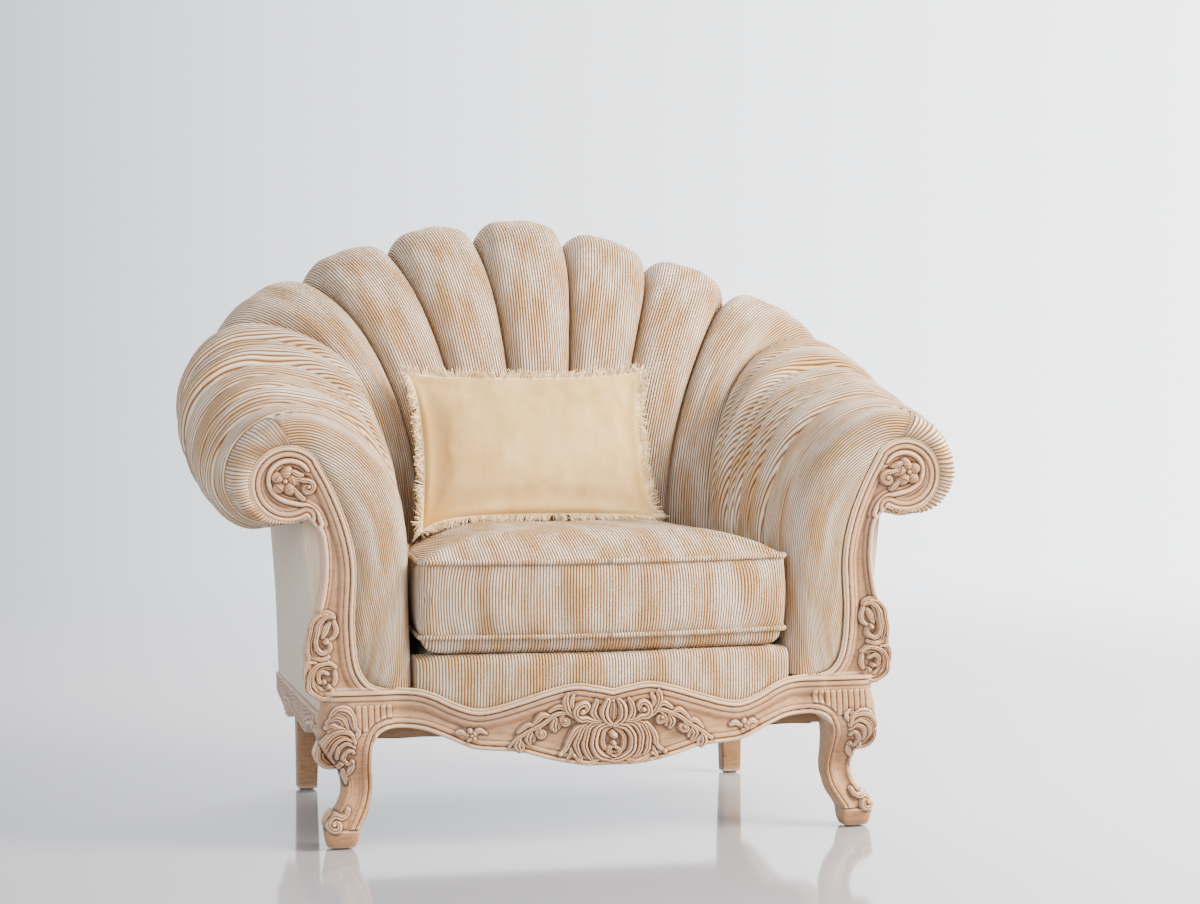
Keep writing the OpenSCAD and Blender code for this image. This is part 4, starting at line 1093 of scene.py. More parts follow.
def facing_height(x, z, bead):
    inner, outer = facing_lines()
    flat = stack(x, z)
    winding = np.vstack([outer[outer[:, 1] < 500] - [3.6, 0], spline(SCROLL_TURN, 6)])
    d_in, d_out, d_ridge = (distance(flat, line) for line in (inner, outer, winding))
    ridge = 1.1 * bead * band(d_ridge, 0, 3.9) - 1.3 * groove(d_ridge, 5.2, 1.0)
    hollow = -4.6 * smooth((d_in - 17) / 9) * smooth((d_ridge - 4) / 8)
    raised = moulding(d_in, bead) + (ridge + hollow) * smooth((d_in - 15) / 3)
    return raised * smooth(np.minimum(d_in, d_out) / 1.2)


def facing_piece(side, wood):
    inner, outer = facing_lines()
    outline = np.vstack([inner, outer[::-1]])
    step = 1.4
    xs, zs = (np.arange(c.min() - step, c.max() + 2 * step, step) for c in outline.T)
    obj = relief_piece("carved_facing_" + side_word(side), xs, zs, outline_grid(xs, zs, outline),
                       lambda x, z, d: facing_height(x, z, wood.bead / MM), lambda x, z: FACING_FRONT,
                       lambda x, z: FACING_VISUAL_BACK, side)
    shade_round(obj, acanthus_strokes() + rosette_strokes(), side)
    return obj


def side_word(side):
    return "right" if side > 0 else "left"


# Height, inner and outer side from the leg's own line, front and back
LEG_KEYS = np.array([
    [3.4, 27, 68, -17, 20], [12, 23, 71, -22, 22], [24, 21, 73, -26, 24], [32, 20, 74, -27, 25],
    [41, 15, 74, -25, 26], [52, 8, 65, -19, 29], [63, 3, 55, -13, 31], [75, 0, 48, -8, 33],
    [90, -3, 44, -5, 36], [106, -3, 45, -6, 38], [120, -1, 50, -11, 40], [138, 0, 64, -20, 42],
    [154, 0, 76, -28, 44], [167, -2, 82, -31, 46], [178, -7, 82, -30, 47], [186, -10, 81, -29, 48],
    [200, -10, 80, -28, 49], [222, -10, 75, -24, 50], [245.6, -10, 80, -20, 50]])
LEG_SQUARE = 0.62


def leg_edge(z):
    """Roundness of the leg's inner edges: crisp on the free leg, and square where the rail meets it."""
    return lerp(0.26, 0.05, smooth((z - 176) / 12))


def leg_section(z):
    """Inner and outer side, front and back of the leg at each height."""
    levels = spline(LEG_KEYS, 6)
    return [np.interp(z, levels[:, 0], levels[:, c]) + (LEG_X if c < 3 else 0) for c in range(1, 5)]


def leg_height(x, z, bead, reed_end):
    """Mouldings on the leg's front: those of the rail go on over its top and down its inner edge."""
    d_under = distance(stack(x, z), under_line())
    d_out = leg_section(z)[1] - x
    free = smooth((z - 31) / 2)
    top = moulding(BLOCK_TOP - z, bead) * smooth((z - 222) / 4)
    outer_edge = (0.8 * bead * band(d_out, 8, 3.6) - 1.2 * groove(d_out, 13, 1.1)) * smooth((128 - z) / 24)
    shin = -2.8 * smooth((d_under - 16) / 6) * smooth((d_out - 12) / 6) * smooth((140 - z) / 40)
    block = 1.8 * smooth((31 - z) / 1.5) - 0.9 * groove(z, 31.5, 1.0)
    raised = (moulding(d_under, bead) + outer_edge + shin) * free
    return top + raised + reeds(x, z, d_under, reed_end) + block


def leg_ring(inner, outer, front, back, edge, count=230):
    """Points round the leg at one height, evenly spaced, three times as close on its front."""
    a = np.linspace(0, 2 * math.pi, 1201)
    cx, sy = np.cos(a), np.sin(a)
    power = np.where(cx < 0, edge, LEG_SQUARE)
    x = lerp(inner, outer, 0.5 + 0.5 * np.sign(cx) * np.abs(cx) ** power)
    y = lerp(front, back, 0.5 + 0.5 * np.sign(sy) * np.abs(sy) ** power)
    steps = np.hypot(np.diff(x), np.diff(y)) * np.where((sy[1:] + sy[:-1]) < 0, 3, 1)
    s = np.concatenate([[0], np.cumsum(steps)])
    at = np.linspace(0, s[-1], count + 1)[:-1]
    return np.interp(at, s, x), np.interp(at, s, y)


def leg_piece(side, wood):
    z = np.concatenate([np.linspace(3.4, 60, 52), np.linspace(61, 245.6, 170)])
    inner, outer, front, back = leg_section(z)
    rings = [leg_ring(*values) for values in zip(inner, outer, front, back, leg_edge(z))]
    x, y = np.array(rings).transpose(1, 0, 2)
    z = z[:, None] + 0 * x
    half = ((back - front) / 2)[:, None]
    facing = smooth(((front + back)[:, None] / 2 - y - 0.05 * half) / (0.25 * half))
    reed_end = REED_END_RIGHT if side > 0 else REED_END_LEFT
    rise = leg_height(x.ravel(), z.ravel(), wood.bead / MM, reed_end).reshape(x.shape)
    points = stack(x, y - rise * facing, z).reshape(-1, 3)
    obj = piece("cabriole_leg_" + side_word(side), points * [side, 1, 1], ring_faces(*x.shape))
    mark_relief(obj, rounds=14, full=0.9)
    plain_marks(obj, lambda p: (np.abs(p[:, 0]) < 363.5) & (p[:, 2] > 182))
    shade_round(obj, knee_strokes(side) + toe_strokes(), side)
    return obj


SIDE_FRONT = 50.4
SIDE_BACK = 588
SIDE_TOP = 205.8
SIDE_OUT = 447
SIDE_BOTTOM = [(0, 152), (0.037, 170), (0.112, 178), (0.223, 168), (0.335, 150), (0.409, 144), (0.52, 152),
               (0.632, 166), (0.743, 166), (0.836, 152), (0.911, 132), (1, 128)]


def side_rail_piece(side, wood):
    """Side rail with a serpentine lower edge, its moulding and an incised wave."""
    bottom = spline([(lerp(SIDE_FRONT, SIDE_BACK, q), z) for q, z in SIDE_BOTTOM], 8)
    y = np.linspace(SIDE_FRONT, SIDE_BACK, 80)
    wave = stack(y, 191 - 5 * np.cos((y - SIDE_FRONT) / 538 * 2 * math.pi * 3))
    curl = spline(spiral((SIDE_FRONT + 34, 189), 12, 2, 250, -420), 4)
    step = 1.8
    ys = np.arange(SIDE_FRONT - step, SIDE_BACK + 2 * step, step)
    zs = np.arange(124, SIDE_TOP + 2 * step, step)
    field = outline_grid(ys, zs, np.vstack([bottom, [[SIDE_BACK, SIDE_TOP], [SIDE_FRONT, SIDE_TOP]]]))

    def height(y, z, inside):
        d_low, d_wave, d_curl = (distance(stack(y, z), line) for line in (bottom, wave, curl))
        cut_in = (1.5 * groove(d_wave, 0, 1.3) + 1.2 * groove(d_wave, 5.5, 0.9)) * smooth((d_curl - 6) / 6)
        return 0.8 * moulding(d_low, wood.bead / MM) - cut_in + 2.2 * band(d_curl, 0, 3.4)

    def face(y, z):
        lean = np.interp(z, [90, 132, 172, 178], [-23, -18, -1, 0])
        return -(SIDE_OUT + lean - 15 * np.clip((y - 120) / 478, 0, 1) + 1)

    return relief_piece("moulded_side_rail_" + side_word(side), ys, zs, field, height, face,
                        lambda y, z: -FRAME_X, side, lambda p: stack(-p[:, 1], p[:, 0], p[:, 2]))


def rear_leg_piece(side):
    """Plain tapered rear leg, one with the back post, with worn edges."""
    rear_y = BACK_DEPTH - 55
    keys = np.array([(3.4, 366, 400, 3, 32), (60, 364, 400.6, 1.5, 32.6), (130, 362, 401.6, 0.5, 33.4),
                     (200, 362, 401.6, 0, 34), (300, 362, 401.6, 0, 34), (712, 362, 401.6, 0, 30)])
    z = np.concatenate([[3.4, 4.2, 6], np.linspace(8, 206, 30), [300, 710.5, 712]])
    low_x, high_x, low_y, high_y = (np.interp(z, keys[:, 0], c)[:, None] for c in keys.T[1:])
    worn = np.zeros((len(z), 1))
    worn[[0, 1, -1], 0] = 1.6, 0.5, 1.5
    a = (np.arange(64) + 0.5) * 2 * math.pi / 64
    fx, fy = (0.5 + 0.5 * np.sign(c) * np.abs(c) ** 0.22 for c in (np.cos(a), np.sin(a)))
    x = lerp(low_x + worn, high_x - worn, fx)
    y = rear_y + lerp(low_y + worn, high_y - worn, fy)
    points = stack(x, y, z[:, None]).reshape(-1, 3)
    obj = piece("tapered_rear_leg_" + side_word(side), points * [side, 1, 1], ring_faces(*x.shape))
    mark_relief(obj)
    return obj


def acanthus_strokes():
    """Two stacked scroll leaves on the lower outer edge of the facing."""
    return [
        cut(8.6, 0.75, (434, 361), (446, 363), (457, 352), (464, 335), (466, 315), (461, 301), veins=2),
        cut(3.2, 0.85, (440, 364), (454, 364), (464, 351), (470, 332), (471, 313), (467, 299)),
        cut(3.8, 1, (431, 359), (440, 361), (450, 356), (457, 344), (460, 328), (457, 313), (448, 305),
            (438, 309), (436, 317), (442, 322), eye=4.6, tip=0.45),
        cut(3.8, 0.6, (437, 350), (444, 341), (448, 330), tip=0.1),
        cut(3, 0.55, (431, 356), (428, 343), (430, 331), (436, 325)),
        cut(3.6, 0.6, (438, 299), (450, 295), (461, 299)),
        cut(8.4, 0.72, (436, 286), (451, 286), (463, 277), (468, 263), (463, 248), (452, 241), veins=2),
        cut(3.6, 1, (430, 285), (440, 289), (454, 287), (465, 280), (471, 267), (469, 251), (460, 240),
            (446, 236), (435, 241), (433, 250), (438, 254), eye=4.0, tip=0.45),
        cut(3.2, 0.8, (459, 290), (471, 291), (476, 280), (475, 264)),
        cut(3.4, 0.95, (440, 273), (450, 277), (456, 271), (454, 261), (446, 261), eye=3.6),
        cut(2.8, 0.9, (457, 284), (464, 273), (464, 257), (455, 246)),
        cut(2.8, 0.5, (430, 280), (427, 268), (430, 257)),
    ]


def knee_strokes(side):
    """Acanthus scroll on the knee, with a leaf down the shin. The left one climbs on over the block."""
    crown = [
        cut(5.4, 0.8, (402, 190), (404, 205), (413, 216), (426, 219), (436, 210), veins=1),
        cut(4.6, 0.7, (413, 190), (418, 203), (430, 208), (441, 200), veins=1),
        cut(3.8, 0.6, (425, 188), (434, 195), (444, 192)),
    ]
    return crown * (side < 0) + [
        cut(7.6, 0.75, (404, 170), (414, 180), (429, 181), (442, 172), (449, 157), (447, 140), (437, 129),
            veins=2),
        cut(3.6, 1, (402, 168), (409, 180), (426, 185), (443, 177), (453, 159), (451, 139), (440, 126),
            (428, 125), (421, 134), eye=3.6, tip=0.45),
        cut(3.2, 0.95, (406, 170), (421, 174), (435, 164), (438, 147), (431, 133)),
        cut(3.2, 0.9, (402, 161), (415, 167), (427, 158), (426, 142)),
        cut(3.2, 1, (402, 152), (407, 156), (414, 152), (417, 141), (411, 134), (404, 138), eye=3.2),
        cut(3.6, 0.65, (404, 134), (407, 123), (411, 116), tip=0.15),
        cut(3.6, 0.5, (418, 124), (414, 112), (410, 102), tip=0.1),
        cut(3.6, 0.65, (410, 183), (423, 190), (440, 186)),
        cut(3.2, 0.55, (400, 176), (397, 186), (403, 192)),
        cut(2.8, 0.5, (452, 168), (457, 154), (454, 142)),
    ]


def toe_strokes():
    """Scroll on the toe of the leg."""
    scroll = spiral((431, 41), 13.5, 3, 95, -430, 18)
    return [cut(4.6, 1.3, (411, 62), (415, 55), (423, 53), *scroll, eye=4.8, tip=0.5)]


def petal_ring(x, z, reach, size, height, turn=90, count=5):
    """Round petals about a flower's heart."""
    petals = []
    for i in range(count):
        a = math.radians(turn + 360 / count * i)
        way = np.array([math.cos(a), math.sin(a)])
        ends = [(x, z) + r * way for r in (reach - 0.25 * size, reach + 0.25 * size)]
        petals.append(cut(size, height * (1 - 0.12 * (i % 2)), *ends, tip=0.9, crease=0))
    return petals


def rosette_strokes():
    """Flower in the eye of the arm scroll, with a snail scroll and leaves beside it."""
    x, z = VOLUTE + 4
    snail = spiral((x - 33, z - 9), 12, 2, 70, 420, 16)
    return petal_ring(x, z, 12.5, 7.6, 1.1, turn=100) + [
        cut(3.4, 1, (x - 0.5, z), (x + 0.5, z), eye=4.6),
        cut(3.8, 0.95, (x - 14, z + 2), (x - 22, z + 4), *snail, eye=4.2, tip=0.6),
        cut(4.4, 0.8, (x - 11, z + 14), (x - 19, z + 11), (x - 27, z + 11)),
        cut(4.2, 0.75, (x - 13, z - 12), (x - 18, z - 18), (x - 27, z - 26)),
    ]


def cartouche_strokes():
    """Shell cartouche in the middle of the apron, with C-scrolls and leaf garlands beside it."""
    half = [
        cut(4.4, 0.8, (0, 225), (0, 210), (0, 194), veins=1),
        cut(6.6, 1.15, (3, 188), (13, 197), (15, 212), (9, 226), crease=0.45),
        cut(5, 0.85, (6, 187), (24, 194), (32, 208), (27, 225), crease=0.4),
        cut(5.2, 1.1, (22, 192), (34, 193), *spiral((48, 212), 16, 3, -110, 400, 14), eye=4.8),
        cut(4.8, 0.9, (60, 201), (71, 211), (77, 226), (73, 238), crease=0.4, tip=0.15),
        cut(3.6, 0.75, (62, 213), (68, 223), (63, 236), tip=0.15),
        cut(6.2, 1.1, (3, 189), (22, 183), (32, 167), (29, 149), (17, 137), (1, 131), crease=0.4),
        cut(3.4, 0.75, (2, 184), (14, 177), (18, 163), (14, 150), (2, 144)),
        cut(5.2, 0.95, (14, 191), (36, 186), (46, 168), (43, 149), (33, 134), crease=0.35),
        cut(4.8, 0.85, (24, 193), (47, 186), (58, 167), (57, 151), (50, 137), crease=0.35),
        cut(4.4, 0.8, (36, 192), (57, 184), (69, 168), (73, 152), (84, 143), eye=4.2),
        cut(3.8, 0.8, (22, 134), (36, 129), (50, 131), (62, 140), eye=3.8),
        cut(3.8, 0.6, (66, 150), (66, 142), (72, 135)),
        cut(6.6, 1, (0, 176), (0.05, 172), eye=7.0),
        cut(4.2, 0.85, (0, 161), (0.05, 158), eye=4.6),
        cut(3.4, 0.95, (1, 153), (7, 150), (8, 143), (2, 138), eye=3.0),
        cut(3.6, 0.85, (50, 199), (74, 208), (98, 200), (122, 187), (144, 172), (164, 157)),
        cut(4.2, 0.7, (68, 207), (82, 217), (98, 209), tip=0.15),
        cut(4.2, 0.7, (98, 201), (112, 205), (126, 192), tip=0.15),
        cut(3.6, 0.6, (124, 188), (136, 189), (148, 177), tip=0.15),
    ]
    for x, z, r in ((76, 195, 8.5), (114, 178, 8.0)):
        half.append(cut(3.8, 0.95, *spiral((x, z), r, 2, 70, -400, 14), eye=3.8))
    for x, z in ((92, 197), (130, 178), (147, 166)):
        half.append(cut(5.4, 0.9, (x, z), (x + 4, z - 9), (x + 1, z - 17), crease=0.45))
        half.append(cut(3.4, 0.65, (x, z), (x - 5, z - 8), (x - 5, z - 14), tip=0.15))
    return mirrored_strokes(half)


def flower_strokes(x, z):
    """Small flower with two leaves, on the apron beside the cartouche."""
    heart = cut(3, 1, (x, z), (x + 0.1, z), eye=3)
    leaves = [cut(3.6, 0.6, (x + 7 * s, z + 2), (x + 15 * s, z + 7), (x + 24 * s, z + 4),
                  tip=0.1) for s in (-1, 1)]
    return petal_ring(x, z, 6.2, 3.6, 0.8) + [heart] + leaves


# Upholstered pieces


def channel_stations(start, end, per_channel):
    return np.linspace(start, end, int(round((end - start) * per_channel)) + 1)


def loop_stations(count):
    """Places along v, closer together over the crest."""
    marks = np.array([0, V_SEAT, V_CREST, V_SIDE, V_UNDER, 1])
    shares = np.array([0, 0.05, 0.55, 0.78, 0.93, 1])
    return np.interp(np.linspace(0, 1, count), shares, marks)


PAD_V = np.array([0, 0.06, 0.12, 0.18, 0.24, 0.30, 0.36, 0.42, 0.48, 0.53, 0.58, 0.62, 0.65, 0.68, 0.71,
                  0.74, 0.77, 0.80, 0.83, 0.86, 0.89, 0.93, 0.965, 1])
FACING_EDGE = [(45, 247), (73, 257), (90, 287), (96, 350), (93, 400), (93, 434), (97, 466), (104, 496),
               (115, 528), (128, 558)]
EDGE_TURN = (165, -112)


def pad_edges(s):
    """The arm pad's outer line on the shell's front and inner line along the facing, at shares s of it."""
    edge = np.array(from_arm(FACING_EDGE)) + [-0.4, 0.4]
    ring = arc(VOLUTE, VOLUTE_R + 0.6, *EDGE_TURN, len(PAD_V) - len(edge) + 1)[1:]
    line = spline(np.vstack([edge, ring]), 12)
    inner = stack(*(np.interp(s, np.linspace(0, 1, len(line)), c) for c in line.T))
    v = np.interp(s, np.linspace(0, 1, len(PAD_V)), PAD_V)
    return arm_end(v)[:, [0, 2]], inner


def pad_section(t):
    """Share across the pad and depth in Y for places t from the shell's front plane to the facing."""
    knots = [[0, PAD_PLANE], [0.02, 24], [0.13, -3], [0.33, -14], [0.6, PAD_FRONT], [0.88, PAD_FRONT + 2],
             [1, FACING_FRONT + 4]]
    line = evenly(spline(np.array(knots) * [60, 1], 10), 1.0) / [60, 1]
    return [np.interp(t, np.linspace(0, 1, len(line)), c) for c in line.T]


def pad_surface(s, t):
    outer, inner = pad_edges(s)
    share, y = pad_section(t)
    flat = lerp(outer[:, None], inner[:, None], share[None, :, None])
    return stack(flat[..., 0], y, flat[..., 1])


def pad_solid(name, face, cloth, s, lip, side):
    """Closes an arm pad behind its face, with its outer edge moved by lip."""
    outer, inner = pad_edges(s)
    back = stack(np.stack([inner[:, 0], outer[:, 0] + lip[..., 0]], 1), FACING_BACK,
                 np.stack([inner[:, 1], outer[:, 1] + lip[..., 1]], 1))
    cloth = np.concatenate([cloth, np.repeat(cloth[:, -1:], 2, 1)], 1)
    return ribbed_solid(name, np.concatenate([face, back], 1) * [side, 1, 1], cloth)


SEAM_S = 12.4 / 23


def arm_pad(side):
    """Straight front of the arm, from the seat rail up to the seam beside the scroll."""
    s, t = np.linspace(0, SEAM_S, 150), np.linspace(0, 1, 40)
    face = pad_surface(s, t)
    along_arm = np.sin(math.pi * np.clip(s / SEAM_S, 0.05, 1))[:, None]
    face[..., 1] -= 1.5 * np.sin(math.pi * np.clip(t, 0.3, 1)) * along_arm
    across = run(face.transpose(1, 0, 2)).T
    cloth = stack(across - across[:, :1], run(face))
    return pad_solid("arm_front_" + side_word(side), face, cloth, s, np.array([8, 0]), side)


def roll_front(side, pleats):
    """Front of the arm's roll, gathered in fine pleats round the carved scroll."""
    s, t = np.linspace(SEAM_S - 0.004, 1, 900)[:, None], np.linspace(0, 1, 44)
    face = pad_surface(s[:, 0], t)
    turn = (s - s[0]) / (1 - s[0])
    count = pleats * turn + 0.175 * np.sin(23 * turn) + 0.1 * np.sin(57 * turn + 1)
    size = 0.75 + 0.35 * np.sin(41 * turn + 2) * np.sin(17 * turn)
    start, deep = (0.1, 3.8) if side > 0 else (0.2, 3.9)
    reach = smooth((t - start) / 0.3)
    depth = deep * np.cos(2 * math.pi * count) * size * reach
    bulge = 3.0 * np.sin(math.pi * np.clip((t - 0.2) / 0.8, 0, 1))
    seam = -4.0 * np.exp(-(((s - s[0]) / 0.006) ** 2)) * reach
    face[..., 1] -= depth * 0.8 + bulge + seam
    away = unit((face - [VOLUTE[0], 0, VOLUTE[1]]) * [1, 0, 1])
    face += away * (depth * 0.7 * (1 - smooth((t - 0.3) / 0.5)))[..., None]
    pitch = bpy.context.scene.chair_upholstery.rib_pitch / MM
    cloth = stack(count * pitch, run(face.transpose(1, 0, 2)).T)
    outer, inner = pad_edges(s[:, 0])
    lip = unit(inner - outer) * 9
    return pad_solid("arm_roll_front_" + side_word(side), face, cloth, s[:, 0], lip, side)


def front_border_piece():
    """Ribbed panel between the seat cushion and the front rail."""
    x, t = np.linspace(-302.4, 302.4, 242)[:, None], np.linspace(0, 1, 26)
    low = np.interp(x, *whole_line(RAIL_TOP).T) + 0.4
    y = bow_y(x, BOW_FRONT + 4, BOW_R - 4)
    puff = 5.0 * np.clip(1 - (2 * t - 1) ** 4, 0, 1) ** 0.6 * smooth((303.5 - np.abs(x)) / 5)
    wave = 0.8 * np.sin(x / 19) * np.sin(math.pi * t)
    drop = 7 * smooth((np.abs(x) - 262) / 40) + 1.2 * np.cos(x / 43)
    face = stack(x, y + 4.2 - puff + wave, lerp(low, DECK_H - 5, t) - drop * t**2)
    dy, dz, share = np.array([[5.4, -3.6, 1], [7.5, -1.4, 1], [11, -0.3, 0.9], [16, 0, 0.7], [42, 0, 0.3]]).T
    rings = np.concatenate([face, stack(x, y + dy, DECK_H + dz - drop * share), stack(x, y + 42, low)], 1)
    cloth = stack(x, run(rings.transpose(1, 0, 2)).T)
    ends = np.vstack([rings[0][::-1], rings[-1]])[:, 1:]
    return ribbed_solid("front_border_panel", rings, cloth, ends=ends)


CUSHION_SIDE = [(289, -29), (299, -20), (301, -4), (296, 60), (289, 138), (279, 218), (263, 288),
                (237, 355), (193, 377), (110, 381), (0, 381)]
CUSHION_MID = np.array([0.0, 150.0])


# Cotton chenille that is softly stuffed, for the cloth solver. The vertex group holds the sewn seams still
CLOTH_SETTINGS = {
    "quality": 4, "mass": 0.25, "tension_stiffness": 12, "compression_stiffness": 12, "shear_stiffness": 6,
    "bending_stiffness": 0.6, "use_pressure": True, "uniform_pressure_force": 2.2,
    "vertex_group_mass": "sewn",
}
CLOTH_FRAMES = 20


def cushion_plan(spacing=4.0):
    """The cushion's outline seen from above, from the middle of its front round to the left."""
    front = [(x, float(bow_y(x, -62))) for x in (0, 90, 180, 250)]
    half = spline([(max(x - 1.5, 0), y) for x, y in front + CUSHION_SIDE], 8)
    half[:, 0] = np.maximum(half[:, 0], 0)
    return evenly(np.vstack([half, (half * [-1, 1])[-2:0:-1], half[:1]]), spacing)[:-1]


def inset(plan, d):
    return plan - unit(plan - CUSHION_MID) * d


def soften(obj, cap, pins):
    """Lets cloth settle under the pressure of its stuffing, and keeps every point near where it started."""
    scene, vertices = bpy.context.scene, obj.data.vertices
    start = read(vertices, "co")
    obj.vertex_groups.new(name="sewn").add([int(i) for i in pins], 1.0, "REPLACE")
    cloth = obj.modifiers.new("settle", "CLOTH")
    for key, value in CLOTH_SETTINGS.items():
        setattr(cloth.settings, key, value)
    cloth.settings.effector_weights.gravity = 0
    cloth.point_cache.frame_start = 1
    cloth.point_cache.frame_end = CLOTH_FRAMES
    for number in range(1, CLOTH_FRAMES + 1):
        scene.frame_set(number)
    shape = obj.evaluated_get(bpy.context.evaluated_depsgraph_get())
    moved = read(shape.data.vertices, "co") - start
    obj.modifiers.remove(cloth)
    scene.frame_set(1)
    far = np.linalg.norm(moved, axis=1, keepdims=True)
    move_vertices(obj, start + moved * cap * np.tanh(far / cap) / np.maximum(far, 1e-9))


def cushion_levels(crown):
    """Inset and height of each of the cushion's rings, from the middle of its underside to its top's."""
    under = [(150, 0), (110, 0), (70, 0), (48, 0.6), (32, 1.6), (20, 5), (13, 12)]
    levels = [(d, CUSHION_Z + z) for d, z in under] + [(10.5, PIPING_LOW - 7), (9.5, PIPING_LOW - 1),
                                                       (8.6, PIPING_LOW + 1.5)]
    levels += [(4.6 - 2.4 * math.sin(math.pi * t), lerp(PIPING_LOW + 5, PIPING_HIGH - 5, t))
               for t in np.linspace(0, 1, 15)]
    levels += [(8.6, PIPING_HIGH - 1.5), (9.5, PIPING_HIGH + 1)]
    return levels + [(d, PIPING_HIGH + crown * (1 - (1 - min((d - 6) / 140, 1)) ** 2.7))
                     for d in (12, 16, 21, 27, 34, 42, 51, 61, 72, 84, 97, 111, 126, 142, 158, 174)]


def cushion_piece(sizes):
    """Boxed seat cushion, crowned on top, with its cloth settled over the stuffing."""
    plan = cushion_plan()
    levels = cushion_levels(sizes.crown / MM)
    n = len(plan)
    rings = [stack(*inset(plan, d).T, z) for d, z in levels]
    last = (len(rings) - 1) * n
    hub_low = last + n
    points = np.vstack(rings + [[[0, 150, CUSHION_Z]], [[0, 150, levels[-1][1] + 0.3]]])
    faces = grid_faces(len(rings), n, wrap=True).tolist()
    faces += [[(i + 1) % n, i, hub_low] for i in range(n)]
    faces += [[last + i, last + (i + 1) % n, hub_low + 1] for i in range(n)]
    obj = piece("seat_cushion_cover", points, faces)
    # The rows on both sides of each seam are sewn down
    sewn = [row for row, (d, z) in enumerate(levels) if d in (8.6, 9.5)]
    pins = [row * n + i for row in sewn for i in range(n)] + list(range(3 * n)) + [hub_low]
    soften(obj, 0.006, pins)
    wrinkle_boxing(obj)
    place_ribs_on_cushion(obj, plan)
    return obj


def wrinkle_boxing(obj):
    """Slight upright waves in the boxing, and shallow dents on the crown."""
    co = read(obj.data.vertices, "co")
    x, y, z = places(obj).T
    side = smooth((z - PIPING_LOW - 4) / 20) * smooth((PIPING_HIGH - 4 - z) / 20)
    wave = 1.2 * np.sin(x / 23 + 0.4 * np.sin(z / 30)) + 0.8 * np.sin(x / 9.5 + y / 31)
    co[:, 1] += side * wave * MM * smooth((120 - y) / 60)
    crown = smooth((z - PIPING_HIGH - 6) / 20)
    co[:, 2] += crown * MM * (1.1 * np.sin(x / 61 + 1) * np.sin(y / 47) + 0.6 * np.sin(x / 29 + y / 37))
    move_vertices(obj, co)


def place_ribs_on_cushion(obj, plan):
    """Ribs run from front to back on the top and the underside, and upright on the boxing."""

    def bearing(p):
        return np.arctan2(p[:, 0], CUSHION_MID[1] - p[:, 1])

    mesh = obj.data
    start, size = (read(mesh.polygons, key, 1, int)[:, 0] for key in ("loop_start", "loop_total"))
    corner = places(obj)[read(mesh.loops, "vertex_index", 1, int)[:, 0]]
    middle = np.repeat(np.add.reduceat(corner, start) / size[:, None], size, 0)
    base = bearing(middle)
    a = base + (bearing(corner) - base + math.pi) % (2 * math.pi) - math.pi
    closed = np.vstack([plan, plan[:1]])
    around, s = np.unwrap(bearing(closed)), run(closed)
    way = np.sign(around[-1] - around[0])
    around = around * way
    # The same table for one more turn each way
    whole = around[-1] - around[0]
    around = np.concatenate([around[:-1] - whole, around[:-1], around + whole])
    u = np.interp(a * way, around, np.concatenate([s[:-1] - s[-1], s[:-1], s + s[-1]]))
    boxing = (middle[:, 2] > PIPING_LOW) & (middle[:, 2] < PIPING_HIGH)
    uv = np.where(boxing[:, None], stack(u, corner[:, 2]), corner[:, :2])
    mesh.uv_layers.new(name="ribs").data.foreach_set("uv", (uv * MM).astype(np.float32).ravel())


def piping_piece(sizes):
    """Covered cord in both seams of the cushion."""
    radius = sizes.cord / MM / 2
    line = inset(cushion_plan(6.0), radius)
    parts = [tube(stack(*line.T, z), radius, sides=12, closed=True) for z in (PIPING_LOW, PIPING_HIGH)]
    return piece("cushion_piping_cord", *joined(parts))


PILLOW_W = 396
PILLOW_H = 252
PILLOW_T = 104
PILLOW_TILT = math.radians(20)
PILLOW_X = -39


# The two panels of the pillow meet in its seam, and points closer than this many metres become one
WELD = 0.0002


def pillow_place(local):
    """The pillow's own place, leaning back on the channels."""
    fringe = bpy.context.scene.chair_upholstery.fringe / MM
    c, s = math.cos(PILLOW_TILT), math.sin(PILLOW_TILT)
    y0 = SEAT_BACK - 29 - 0.5 * PILLOW_T / c
    z0 = PIPING_HIGH + 23.4 + (PILLOW_H / 2 + fringe) * c
    x, y, z = local[..., 0], local[..., 1], local[..., 2]
    return stack(x + PILLOW_X, y * c + z * s + y0, -y * s + z * c + z0)


def pillow_outline(s, t):
    """Place on the pillow's plane for s and t from -1 to 1: its sides pull in and its corners stand out."""
    ear = (np.abs(s) * np.abs(t)) ** 7
    wide, low = np.where((s < 0) & (t > 0), 8, 2), np.where((s < 0) & (t < 0), 21, 3)
    x = s * (PILLOW_W / 2 - 12 * (1 - np.abs(t) ** 2.2) + wide * ear)
    return x, t * (PILLOW_H / 2 - 8 * (1 - np.abs(s) ** 2.2) + low * ear)


def pillow_rim(count):
    """The pillow's seam, evenly spaced, in its own plane."""
    a = np.linspace(-1, 1, 60)
    one = np.ones_like(a)
    sides = (one, a), (-a, one), (-one, -a), (a, -one)
    rim = np.vstack([stack(*pillow_outline(s, t))[:-1] for s, t in sides])
    closed = np.vstack([rim, rim[:1]])
    return np.insert(evenly(closed, run(closed)[-1] / count)[:-1], 1, 0, axis=1)


def pillow_seam(obj):
    """Numbers of the pillow's vertices on its seam, where the front panel meets the rear one."""
    rim = pillow_place(pillow_rim(900))
    return [i for i, p in enumerate(places(obj)) if ((rim - p) ** 2).sum(1).min() < 2.5]


